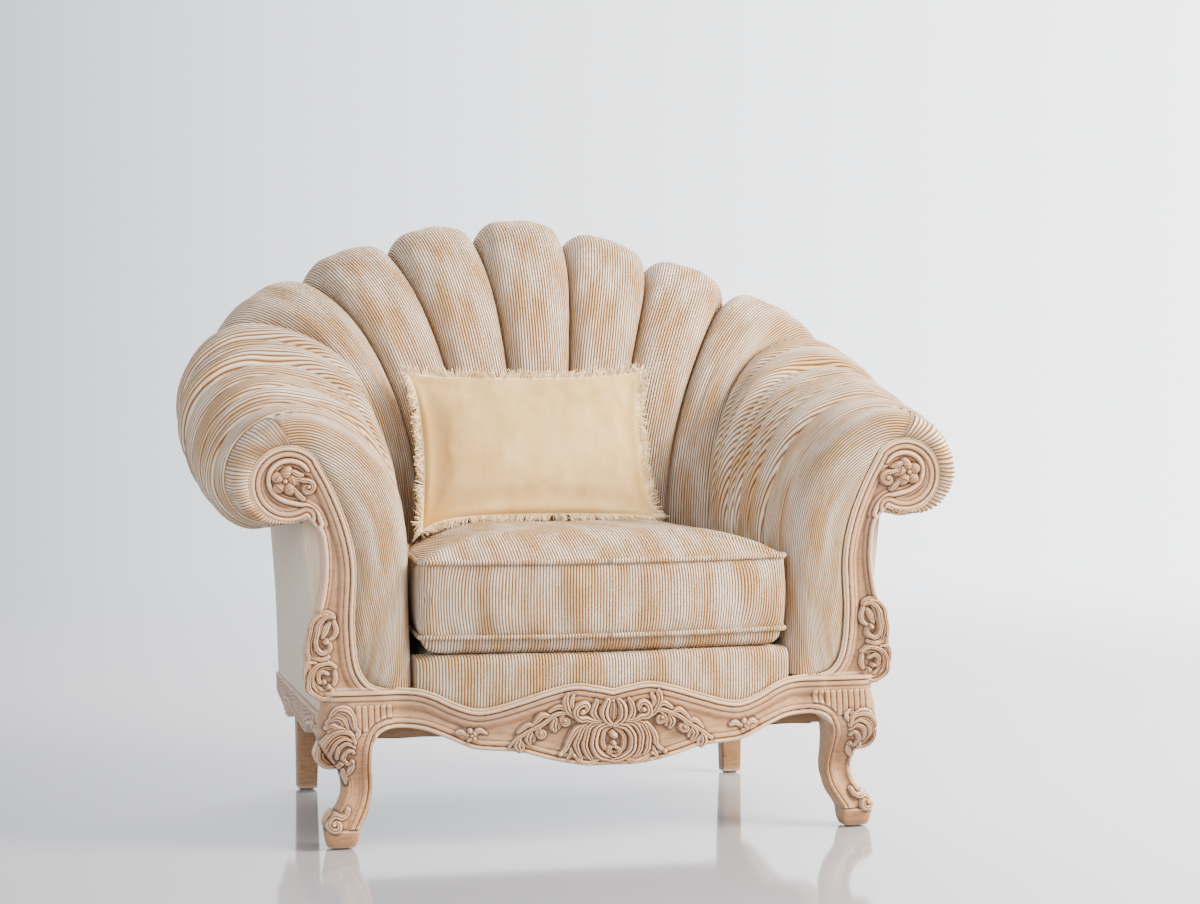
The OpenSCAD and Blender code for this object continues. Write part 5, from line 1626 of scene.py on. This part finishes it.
def pillow_piece():
    """Stuffed lumbar pillow: two panels sewn at the edge and swollen by their filling."""
    shape = 74, 50
    s, t = grid(*(np.linspace(-1, 1, n) for n in shape))
    x, z = pillow_outline(s, t)
    depth = 0.41 * PILLOW_T * ((1 - np.abs(s) ** 2.6) * (1 - np.abs(t) ** 2.6)) ** 0.62
    panels = np.vstack([stack(x, y, z).reshape(-1, 3) for y in (-depth, depth)])
    faces = grid_faces(*shape).tolist()
    faces += [[v + x.size for v in face[::-1]] for face in faces]
    obj = piece("lumbar_pillow_cover", pillow_place(panels), faces, weld=WELD)
    co = read(obj.data.vertices, "co") / MM
    x, z = co[:, 0] - PILLOW_X, co[:, 2] - co[:, 2].mean()
    soften(obj, 0.012, pillow_seam(obj))
    # Painted warm shade: darker and golden over the pillow's left side, in faint bands, and towards its lower
    # left
    painted_warm_shade = smooth((-x - 105) / 80) * (0.55 + 0.25 * np.sin(z / 23))
    store(obj, "painted_warm_shade", painted_warm_shade + 0.25 * smooth((-z - 60) / 60) * smooth((-x + 40) / 120))
    return obj


def fringe_piece(reach):
    """Brush fringe: cut yarns that stand out of the seam, and the twisted gimp at their root."""
    rng = np.random.default_rng(7)
    rim = pillow_rim(1150)
    out = unit(np.roll(rim, 1, 0) - np.roll(rim, -1, 0)) @ [[0, 0, 1], [0, 0, 0], [-1, 0, 0]]
    out *= np.sign((out * rim).sum(-1, keepdims=True))
    points = []
    clump = np.cumsum(rng.normal(0, 0.16, len(rim))) * 0.25
    for i, (seam, way) in enumerate(zip(rim, out)):
        across = np.array([-way[2], 0, way[0]])
        for _ in range(2):
            lean = np.clip(rng.normal(1.6 * math.sin(clump[i] * 9), 0.3), -0.9, 0.9)
            grown = reach * rng.uniform(0.55, 1.05)
            step = (unit(way + across * lean) + [0, rng.normal(-0.12, 0.34), 0]) * grown
            root = seam - 2 * way + [0, rng.normal(0, 0.8), 0]
            curl = (across + [0, rng.normal(0, 0.6), 0]) * rng.normal(0, 3.4)
            for share, thick in ((0, 1.15), (0.55, 1.1), (1, 0.6)):
                centre = root + step * share + curl * share**2
                for a in (i, i + 2 * math.pi / 3, i + 4 * math.pi / 3):
                    points.append(centre + thick * (across * math.cos(a) + [0, math.sin(a), 0]))
    faces = [[start + v for v in face] for start in range(0, len(points), 9) for face in ring_faces(3, 3)]
    gimp, gimp_faces, _ = tube(rim[::6], 2.6, sides=8, closed=True)
    faces += [[len(points) + v for v in face] for face in gimp_faces]
    return piece("pillow_brush_fringe", pillow_place(np.vstack([np.array(points), gimp])), faces)


FLAP_Y = 28.4
FACING_VISUAL_BACK = 27.8


# Rows of points between the low edge and the tuck of an outside cover, and the channel where its back ends
COVER_ROWS = 40
COVER_CORNER = 3


def cover_points(k, t):
    """Outer cover between its low edge and the tuck under the roll."""
    low_z = lerp(168, 206.4, smooth((np.abs(k) - 2.2) / 0.3))
    low = np.concatenate([along(OUTER_PLAN, k), low_z[..., None]], -1)
    top = shell_points(k, np.ones_like(k)) - [0, 0, 0.8]
    return lerp(low, top, t[..., None])


def cover_piece(name, k_row):
    """Outside cover with its wadding, drawn tight, and turned in behind the facing at an arm's front."""
    k, t = grid(k_row, np.linspace(0, 1, COVER_ROWS))
    face = cover_points(k, t)
    forward = np.maximum(np.abs(k_row) - (LAST_K - 0.3), 0) / 0.3
    face[..., 1] -= (PAD_PLANE - FLAP_Y) * forward[:, None] ** 1.5
    inward = np.concatenate([outward(k), np.zeros(k.shape + (1,))], -1) * -3.3
    front = int(np.abs(k_row).argmax())
    if abs(k_row[front]) == LAST_K:
        side = np.sign(k_row[front])
        outer = facing_lines()[1]
        edge = face[front]
        flap = edge.copy()
        flap[:, 0] = side * (np.interp(edge[:, 2], outer[:, 1], outer[:, 0]) - 8)
        flap[:, 0] = np.where(edge[:, 2] > BLOCK_TOP + 1, flap[:, 0], edge[:, 0] - 1.5 * side)
        turned = np.stack([lerp(edge, flap, 0.02), lerp(edge, flap, 0.5), flap])
        corner = smooth((np.linspace(0, 1, len(edge)) - 0.94) / 0.06)[:, None]
        turned[1:] += corner * [[[15 * side, 0, 12]], [[8 * side, 0, 14]]]
        depth = np.zeros_like(turned) + [0, 1.6, 0]
        rows = ([face, turned], [inward, depth]) if front else ([turned[::-1], face], [depth, inward])
        face, inward = (np.concatenate(row) for row in rows)
    points, faces = loop_solid(np.concatenate([face, (face + inward)[:, ::-1]], 1))
    return piece(name, points, faces)


def cover_area(k_row):
    p = cover_points(*grid(k_row, np.linspace(0, 1, COVER_ROWS))) * MM
    d1, d2 = p[1:, :-1] - p[:-1, :-1], p[:-1, 1:] - p[:-1, :-1]
    return float(np.linalg.norm(np.cross(d1, d2), axis=-1).sum())


def cord_piece(name, line, radius):
    """A sewn cord along a line, slightly lumpy from its gathered cover."""
    points, faces, _ = tube(line, radius)
    ring = np.repeat(np.arange(len(line)), 10)
    middle = np.repeat(line, 10, 0)
    lumps = 1 + 0.16 * np.sin(2.1 * ring) * np.sin(0.37 * ring + 1)
    return piece(name, middle + (points - middle) * lumps[:, None], faces)


def welt_piece(side):
    """Cord over the edge of the cloth, along the facing and round its scroll."""
    line = evenly(facing_lines()[0], 2.4)
    t = unit(np.gradient(line, axis=0))
    flat = line + stack(-t[:, 1], t[:, 0]) * 1.2
    line = stack(flat[:, 0] * side, FACING_FRONT - 1.0, flat[:, 1])
    return cord_piece("arm_welt_" + side_word(side), line, 1.4)


def rail_welt_piece():
    """Cord along the top of the front rail."""
    x, z = evenly(whole_line(RAIL_TOP), 2.4).T
    return cord_piece("rail_welt", stack(x, bow_y(x) - 0.6, z + 1.9)[np.abs(x) < 350], 1.8)


def deck_piece():
    """Springing deck under the cushion: padded ticking that ends behind the ribbed front border."""
    k = np.linspace(-LAST_K, LAST_K, 97)
    inner = along(BASE_PLAN, k) - outward(k) * 26
    ends = inner[[0, -1]] * [1, 0]
    x = np.linspace(270, -270, 24)
    plan = np.vstack([inner, ends[1:], stack(x, bow_y(x) + 47), ends[:1]])
    plan = plan[(plan[:, 1] > bow_y(plan[:, 0]) + 46.3)]
    rings = [(1, 242.6), (1, 288), (0.985, 295), (0.95, 297.6), (0.8, 298), (0.5, 298), (0.2, 298)]
    shape = [stack(*lerp(np.array([0, 180.0]), plan, q).T, z) for q, z in rings]
    return piece("sprung_deck", np.vstack(shape), ring_faces(len(rings), len(plan)))


def strap_y(z):
    return BACK_DEPTH - 60 + 0.9 + 40 * (z - SEAT_BASE) / (700 - SEAT_BASE)


def webbing_piece():
    """Jute straps woven across the open back."""
    parts = []
    for x in (-200, -70, 70, 200):
        top = float(crest_z(-(abs(x) + 25) / 150)) - 48 - 62 - 0.8 - 12
        z = np.linspace(262, top, 20)
        parts.append(strap(stack(x, strap_y(z), z), np.array([25.0, 0, 0])))
    for z in (385, 525, 665):
        line = stack(np.linspace(-361.2, 361.2, 40), strap_y(z) + 1.9, z)
        parts.append(strap(line, np.array([0, 2.2, 25.0])))
    return piece("back_webbing_straps", *joined(parts))


def strap(line, half, thick=1.4):
    """A flat strap along a line."""
    behind = np.array([0, thick, 0])
    rings = np.stack([line - half, line + half, line + half + behind, line - half + behind], 1)
    faces = ring_faces(len(line), 4)
    return rings.reshape(-1, 3), faces, np.zeros((sum(map(len, faces)), 2))


def dust_cover_piece():
    """Black cambric under the seat, sagging slightly between its staples."""
    low, high = (np.array(c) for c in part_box("dust_cover"))
    x = np.linspace(low[0], high[0], 60) / MM
    y = (np.linspace(low[1], high[1], 48) - FEET_Y) / MM
    s, t = grid(*(np.linspace(0, 1, n) for n in (60, 48)))
    x, y = grid(x, y)
    sag = -5 * np.sin(math.pi * s) * np.sin(math.pi * t)
    pucker = 0.5 * np.sin(x / 12) * np.exp(-np.minimum(t, 1 - t) * 25)
    top = stack(x, y, high[2] / MM - 0.2 + sag + pucker)
    points, faces = loop_solid(np.concatenate([top, (top - [0, 0, 0.6])[:, ::-1]], 1))
    return piece("cambric_dust_cover", points, faces)


# Operators


class ChairOperator:
    """What every operator of this file shares."""

    bl_options = {"REGISTER", "UNDO"}

    @property
    def cloth(self):
        return bpy.context.scene.chair_upholstery

    @property
    def wood(self):
        return bpy.context.scene.chair_wood


class CHAIR_OT_stage(ChairOperator, bpy.types.Operator):
    """Sets the floor, the soft studio light and the camera"""

    bl_idname = "chair.stage"
    bl_label = "Studio Stage"

    def execute(self, context):
        settings = context.scene.chair_stage
        build_floor(settings)
        build_lights(settings)
        build_camera()
        return {"FINISHED"}


FLOOR_R = 5.5
FADE_START = 2.0
FADE_END = 4.6


def build_floor(settings):
    """A polished floor that fades out towards its rim."""
    mesh = bmesh.new()
    bmesh.ops.create_circle(mesh, cap_ends=True, segments=96, radius=FLOOR_R)
    data = bpy.data.meshes.new("studio_floor")
    mesh.to_mesh(data)
    mesh.free()
    m = new_material("polished_pale_floor")
    shader = add_node(m, "BsdfPrincipled", Base_Color=(*settings.floor, 1), Roughness=0.07,
                      Specular_IOR_Level=0.45)
    place = add_node(m, "TexCoord")
    far = add_node(m, "VectorMath", [(place, "Object", 0)], operation="LENGTH")
    fade = add_node(m, "MapRange", [(far, "Value", "Value")], interpolation_type="SMOOTHSTEP",
                    From_Min=FADE_START, From_Max=FADE_END)
    clear = add_node(m, "BsdfTransparent")
    mixed = add_node(m, "MixShader", [(fade, 0, 0), (shader, 0, 1), (clear, 0, 2)])
    add_node(m, "OutputMaterial", [(mixed, 0, "Surface")])
    data.materials.append(m)
    floor = linked("studio_floor", data)


def area_light(name, place, target, size, power, tint):
    light = bpy.data.lights.new(name, "AREA")
    light.shape = "RECTANGLE"
    light.size, light.size_y = size
    light.energy = power
    light.color = linear(tint)
    obj = linked(name, light)
    direction = np.array(target) - np.array(place)
    yaw = math.atan2(direction[0], direction[1])
    drop = math.atan2(-direction[2], math.hypot(direction[0], direction[1]))
    obj.location = place
    obj.rotation_euler = (math.pi / 2 - drop, 0, -yaw)
    return obj


def build_lights(settings):
    """A large soft window light, a fill and a rim light, and pale air that is brighter towards the right."""
    middle = (0, 0, 0.5)
    power = settings.key_power
    area_light("key_window", (3.0, -1.6, 2.2), middle, (1.9, 2.2), power, "#FFF3E4").visible_glossy = False
    area_light("fill_front", (-1.9, -3.6, 1.7), middle, (3.0, 2.2), 0.22 * power, "#F4F7FF")
    area_light("rim_back", (0.9, 2.7, 2.7), middle, (2.6, 1.6), 0.4 * power, "#FFFFFF")
    world = bpy.data.worlds.new("pale_air")
    bpy.context.scene.world = world
    world.use_nodes = True
    world.node_tree.nodes.clear()
    air = (*settings.backdrop, 1)
    place = add_node(world, "TexCoord")
    parts = add_node(world, "SeparateXYZ", [(place, "Generated", 0)])
    across = add_node(world, "MapRange", [(parts, "X", "Value")], From_Min=0.04, From_Max=0.44, To_Min=0.5,
                      To_Max=2.0)
    strength = add_node(world, "Math", [(across, 0, 0), (settings.air_seen, 1)], operation="MULTIPLY")
    seen = add_node(world, "Background", [(strength, 0, "Strength")], Color=air)
    lit = add_node(world, "Background", Color=air, Strength=settings.air_light)
    ray = add_node(world, "LightPath")
    mixed = add_node(world, "MixShader", [(ray, "Is Diffuse Ray", 0), (seen, 0, 1), (lit, 0, 2)])
    add_node(world, "OutputWorld", [(mixed, 0, "Surface")])


CAMERA_PLACE = (-1.1894, -4.6418, 0.8586)
CAMERA_YAW = 0.25
CAMERA_DROP = 0.0519
FOCAL_PIXELS = 3048
IMAGE_WIDTH = 1200
SENSOR = 36.0


def build_camera():
    camera = bpy.data.cameras.new("photo_view")
    camera.sensor_width = SENSOR
    camera.lens = SENSOR * FOCAL_PIXELS / IMAGE_WIDTH
    obj = linked("photo_view", camera)
    obj.location = (CAMERA_PLACE[0], CAMERA_PLACE[1] + FEET_Y, CAMERA_PLACE[2])
    obj.rotation_euler = (math.pi / 2 - CAMERA_DROP, 0, -CAMERA_YAW)
    bpy.context.scene.camera = obj


class CHAIR_OT_inner_frame(ChairOperator, bpy.types.Operator):
    """Gives the hidden beech frame, springs, clips and screws their materials"""

    bl_idname = "chair.inner_frame"
    bl_label = "Inner Frame"

    def execute(self, context):
        finishes = {
            "planed_beech": ["back_rail", "spring_rail", "crest_rail", "back_tack_rail", "corner_blocks"]
            + [n + s for n in ("arm_board", "arm_top_rail", "arm_tack_rail") for s in ("_left", "_right")],
            "zinc_plated_steel": ["corner_screws", "facing_screws", "seat_springs", "spring_clips"],
            "nylon_glide_cap": ["foot_glides"],
        }
        for finish, nodes in finishes.items():
            for name in nodes:
                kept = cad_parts[name].data.materials
                kept.clear()
                kept.append(materials()[finish])
        return {"FINISHED"}


class CHAIR_OT_show_wood(ChairOperator, bpy.types.Operator):
    """Carves the front rail, the arm facings and the cabriole legs"""

    bl_idname = "chair.show_wood"
    bl_label = "Show Wood"

    def execute(self, context):
        finish_piece(front_rail_piece(self.wood), "limed_wood", "front_rail")
        for side in (-1, 1):
            word = side_word(side)
            finish_piece(facing_piece(side, self.wood), "limed_wood", "arm_facing_" + word)
            finish_piece(leg_piece(side, self.wood), "limed_wood", "front_leg_" + word)
            finish_piece(side_rail_piece(side, self.wood), "limed_wood", "side_rail_" + word)
            # The rear legs take the darker copy of the limed wood, as painted shade
            finish_piece(rear_leg_piece(side), "limed_wood_in_painted_shade", "rear_leg_" + word)
        return {"FINISHED"}


class CHAIR_OT_carving(ChairOperator, bpy.types.Operator):
    """Lays the carved leaves, scrolls and flowers on the show wood"""

    bl_idname = "chair.carving"
    bl_label = "Carved Ornament"

    def execute(self, context):
        h = self.wood.carving / MM

        def lay(node, name, *carving):
            obj = carved_piece(name, *carving)
            finish_piece(obj, "limed_wood", *([node] if node else []), slot="carved_wood")

        flowers = flower_strokes(222, 174) + flower_strokes(-222, 174)
        lay("apron_cartouche", "shell_cartouche", cartouche_strokes(), h, (-172, 172), (124, 246), 0.9,
            on_rail)
        lay("apron_flowers", "apron_flower_pair", flowers, 0.8 * h, (-250, 250), (158, 190), 1.0, on_rail)
        for side in (-1, 1):
            word = side_word(side)
            lay("facing_acanthus_" + word, "facing_leaf_" + word, acanthus_strokes(), h, (420, 482),
                (232, 372), 0.9, on_facing, 3, side)
            lay("knee_carving_" + word, "knee_leaf_" + word, knee_strokes(side), h, (392, 462), (98, 228),
                0.9, on_leg, 13, side)
            lay("scroll_rosette_" + word, "scroll_flower_" + word, rosette_strokes(), h, (446, 530),
                (532, 598), 0.8, in_scroll, 3, side)
            lay(None, "toe_scroll_" + word, toe_strokes(), 0.8 * h, (404, 450), (24, 72), 0.8, on_leg, 13,
                side)
        return {"FINISHED"}


# Where each carving's plain ground lies, in Y


def on_rail(x, z):
    return bow_y(x) + 2.2


def on_facing(x, z):
    return FACING_FRONT + 1.8


def in_scroll(x, z):
    return FACING_FRONT + 2.6


def on_leg(x, z):
    """A little behind the leg's plain front face: square towards the rail, round towards the outside."""
    inner, outer, front, back = leg_section(z)
    across = np.clip((x - (inner + outer) / 2) / ((outer - inner) / 2), -0.999, 0.999)
    shared = np.where(across < 0, leg_edge(z), LEG_SQUARE)
    half = (back - front) / 2
    return (front + back) / 2 - half * (1 - np.abs(across) ** (2 / shared)) ** (shared / 2) + 1.6


class CHAIR_OT_inside_back(ChairOperator, bpy.types.Operator):
    """Makes the channelled shell of the inside back"""

    bl_idname = "chair.inside_back"
    bl_label = "Channelled Back"

    def execute(self, context):
        k = channel_stations(-BACK_END_K, BACK_END_K, 44)
        obj = shell_piece("channelled_back", k, loop_stations(150), self.cloth)
        finish_piece(obj, "ribbed_chenille", "inside_back")
        return {"FINISHED"}


class CHAIR_OT_inside_arms(ChairOperator, bpy.types.Operator):
    """Makes both rolled inside arms with their folds"""

    bl_idname = "chair.inside_arms"
    bl_label = "Inside Arms"

    def execute(self, context):
        right = channel_stations(BACK_END_K + 0.01, LAST_K, 60)
        made = ((1, right, RIGHT_FOLDS, RIGHT_GATHERS), (-1, -right[::-1], LEFT_FOLDS, LEFT_GATHERS))
        for side, k, folds, gathered in made:
            word = side_word(side)
            obj = shell_piece("rolled_arm_" + word, k, loop_stations(170), self.cloth, folds, gathered)
            finish_piece(obj, "ribbed_chenille", "inside_arm_" + word)
        return {"FINISHED"}


class CHAIR_OT_arm_fronts(ChairOperator, bpy.types.Operator):
    """Makes the ribbed front of each arm and the pleats round its scroll"""

    bl_idname = "chair.arm_fronts"
    bl_label = "Arm Fronts"

    def execute(self, context):
        for side in (-1, 1):
            pleats = self.cloth.pleats if side > 0 else int(1.4 * self.cloth.pleats)
            for obj in (arm_pad(side), roll_front(side, pleats)):
                finish_piece(obj, "ribbed_chenille", "arm_front_pad_" + side_word(side))
            finish_piece(welt_piece(side), "bias_cut_chenille")
        return {"FINISHED"}


class CHAIR_OT_front_border(ChairOperator, bpy.types.Operator):
    """Makes the ribbed border above the front rail and the welt along the rail"""

    bl_idname = "chair.front_border"
    bl_label = "Front Border"

    def execute(self, context):
        obj = finish_piece(front_border_piece(), "ribbed_chenille", "front_border")
        finish_piece(rail_welt_piece(), "bias_cut_chenille")
        return {"FINISHED"}


class CHAIR_OT_seat_cushion(ChairOperator, bpy.types.Operator):
    """Makes the loose seat cushion with its piping"""

    bl_idname = "chair.seat_cushion"
    bl_label = "Seat Cushion"

    def execute(self, context):
        obj = finish_piece(cushion_piece(self.cloth), "ribbed_chenille", "seat_cushion", body="cushion")
        finish_piece(piping_piece(self.cloth), "ribbed_chenille", "cushion_piping", body="cushion")
        return {"FINISHED"}


class CHAIR_OT_pillow(ChairOperator, bpy.types.Operator):
    """Makes the lumbar pillow with its brush fringe"""

    bl_idname = "chair.pillow"
    bl_label = "Lumbar Pillow"

    def execute(self, context):
        obj = finish_piece(pillow_piece(), "cotton_velvet", "lumbar_pillow", body="pillow")
        finish_piece(fringe_piece(self.cloth.fringe / MM), "cut_cotton_yarn", "pillow_fringe", body="pillow")
        return {"FINISHED"}


class CHAIR_OT_outside_covers(ChairOperator, bpy.types.Operator):
    """Makes the plain covers of the outside back and the outside arms"""

    bl_idname = "chair.outside_covers"
    bl_label = "Outside Covers"

    def execute(self, context):
        arm = np.linspace(COVER_CORNER + 0.01, LAST_K, 73)
        rows = (("outside_back", np.linspace(-COVER_CORNER + 0.01, COVER_CORNER - 0.01, 145), 0.74),
                ("outside_arm_right", arm, 0.42), ("outside_arm_left", -arm[::-1], 0.42))
        for node, k, tall in rows:
            obj = finish_piece(cover_piece(node + "_cover", k), "plain_chenille", node)
            wide = float(run(along(OUTER_PLAN, k))[-1]) * MM
            area = cover_area(k)
        return {"FINISHED"}


class CHAIR_OT_underlay(ChairOperator, bpy.types.Operator):
    """Makes the sprung deck, the jute straps and the dust cover"""

    bl_idname = "chair.underlay"
    bl_label = "Deck and Webbing"

    def execute(self, context):
        deck = finish_piece(deck_piece(), "cotton_deck_ticking", "deck_pad")
        straps = finish_piece(webbing_piece(), "jute_webbing_cloth", "back_webbing")
        dust = finish_piece(dust_cover_piece(), "black_cambric", "dust_cover")
        return {"FINISHED"}


class CHAIR_PT_panel(bpy.types.Panel):
    """Lists the chair's pieces and their sizes and colours"""

    bl_idname = "CHAIR_PT_panel"
    bl_label = "Shell Armchair"
    bl_space_type = "VIEW_3D"
    bl_region_type = "UI"
    bl_category = "Armchair"

    def draw(self, context):
        scene = context.scene
        for group in (scene.chair_upholstery, scene.chair_wood, scene.chair_stage):
            box = self.layout.box()
            for key in group.bl_rna.properties.keys():
                if key not in ("rna_type", "name"):
                    box.prop(group, key)
        for operator in OPERATORS:
            self.layout.operator(operator.bl_idname)


OPERATORS = (
    CHAIR_OT_stage, CHAIR_OT_inner_frame, CHAIR_OT_underlay, CHAIR_OT_outside_covers, CHAIR_OT_inside_back,
    CHAIR_OT_inside_arms, CHAIR_OT_arm_fronts, CHAIR_OT_front_border, CHAIR_OT_show_wood, CHAIR_OT_carving,
    CHAIR_OT_seat_cushion, CHAIR_OT_pillow,
)
GROUPS = {"chair_upholstery": ChairUpholstery, "chair_wood": ChairWood, "chair_stage": ChairStage}


def register():
    for name, group in GROUPS.items():
        bpy.utils.register_class(group)
        setattr(bpy.types.Scene, name, bpy.props.PointerProperty(type=group))
    for operator in OPERATORS:
        bpy.utils.register_class(operator)
    bpy.utils.register_class(CHAIR_PT_panel)


def unregister():
    bpy.utils.unregister_class(CHAIR_PT_panel)
    for operator in reversed(OPERATORS):
        bpy.utils.unregister_class(operator)
    for name, group in GROUPS.items():
        delattr(bpy.types.Scene, name)
        bpy.utils.unregister_class(group)


def main():
    register()
    for operator in OPERATORS:
        category, name = operator.bl_idname.split(".")
        getattr(getattr(bpy.ops, category), name)()


if __name__ == "__main__":
    main()
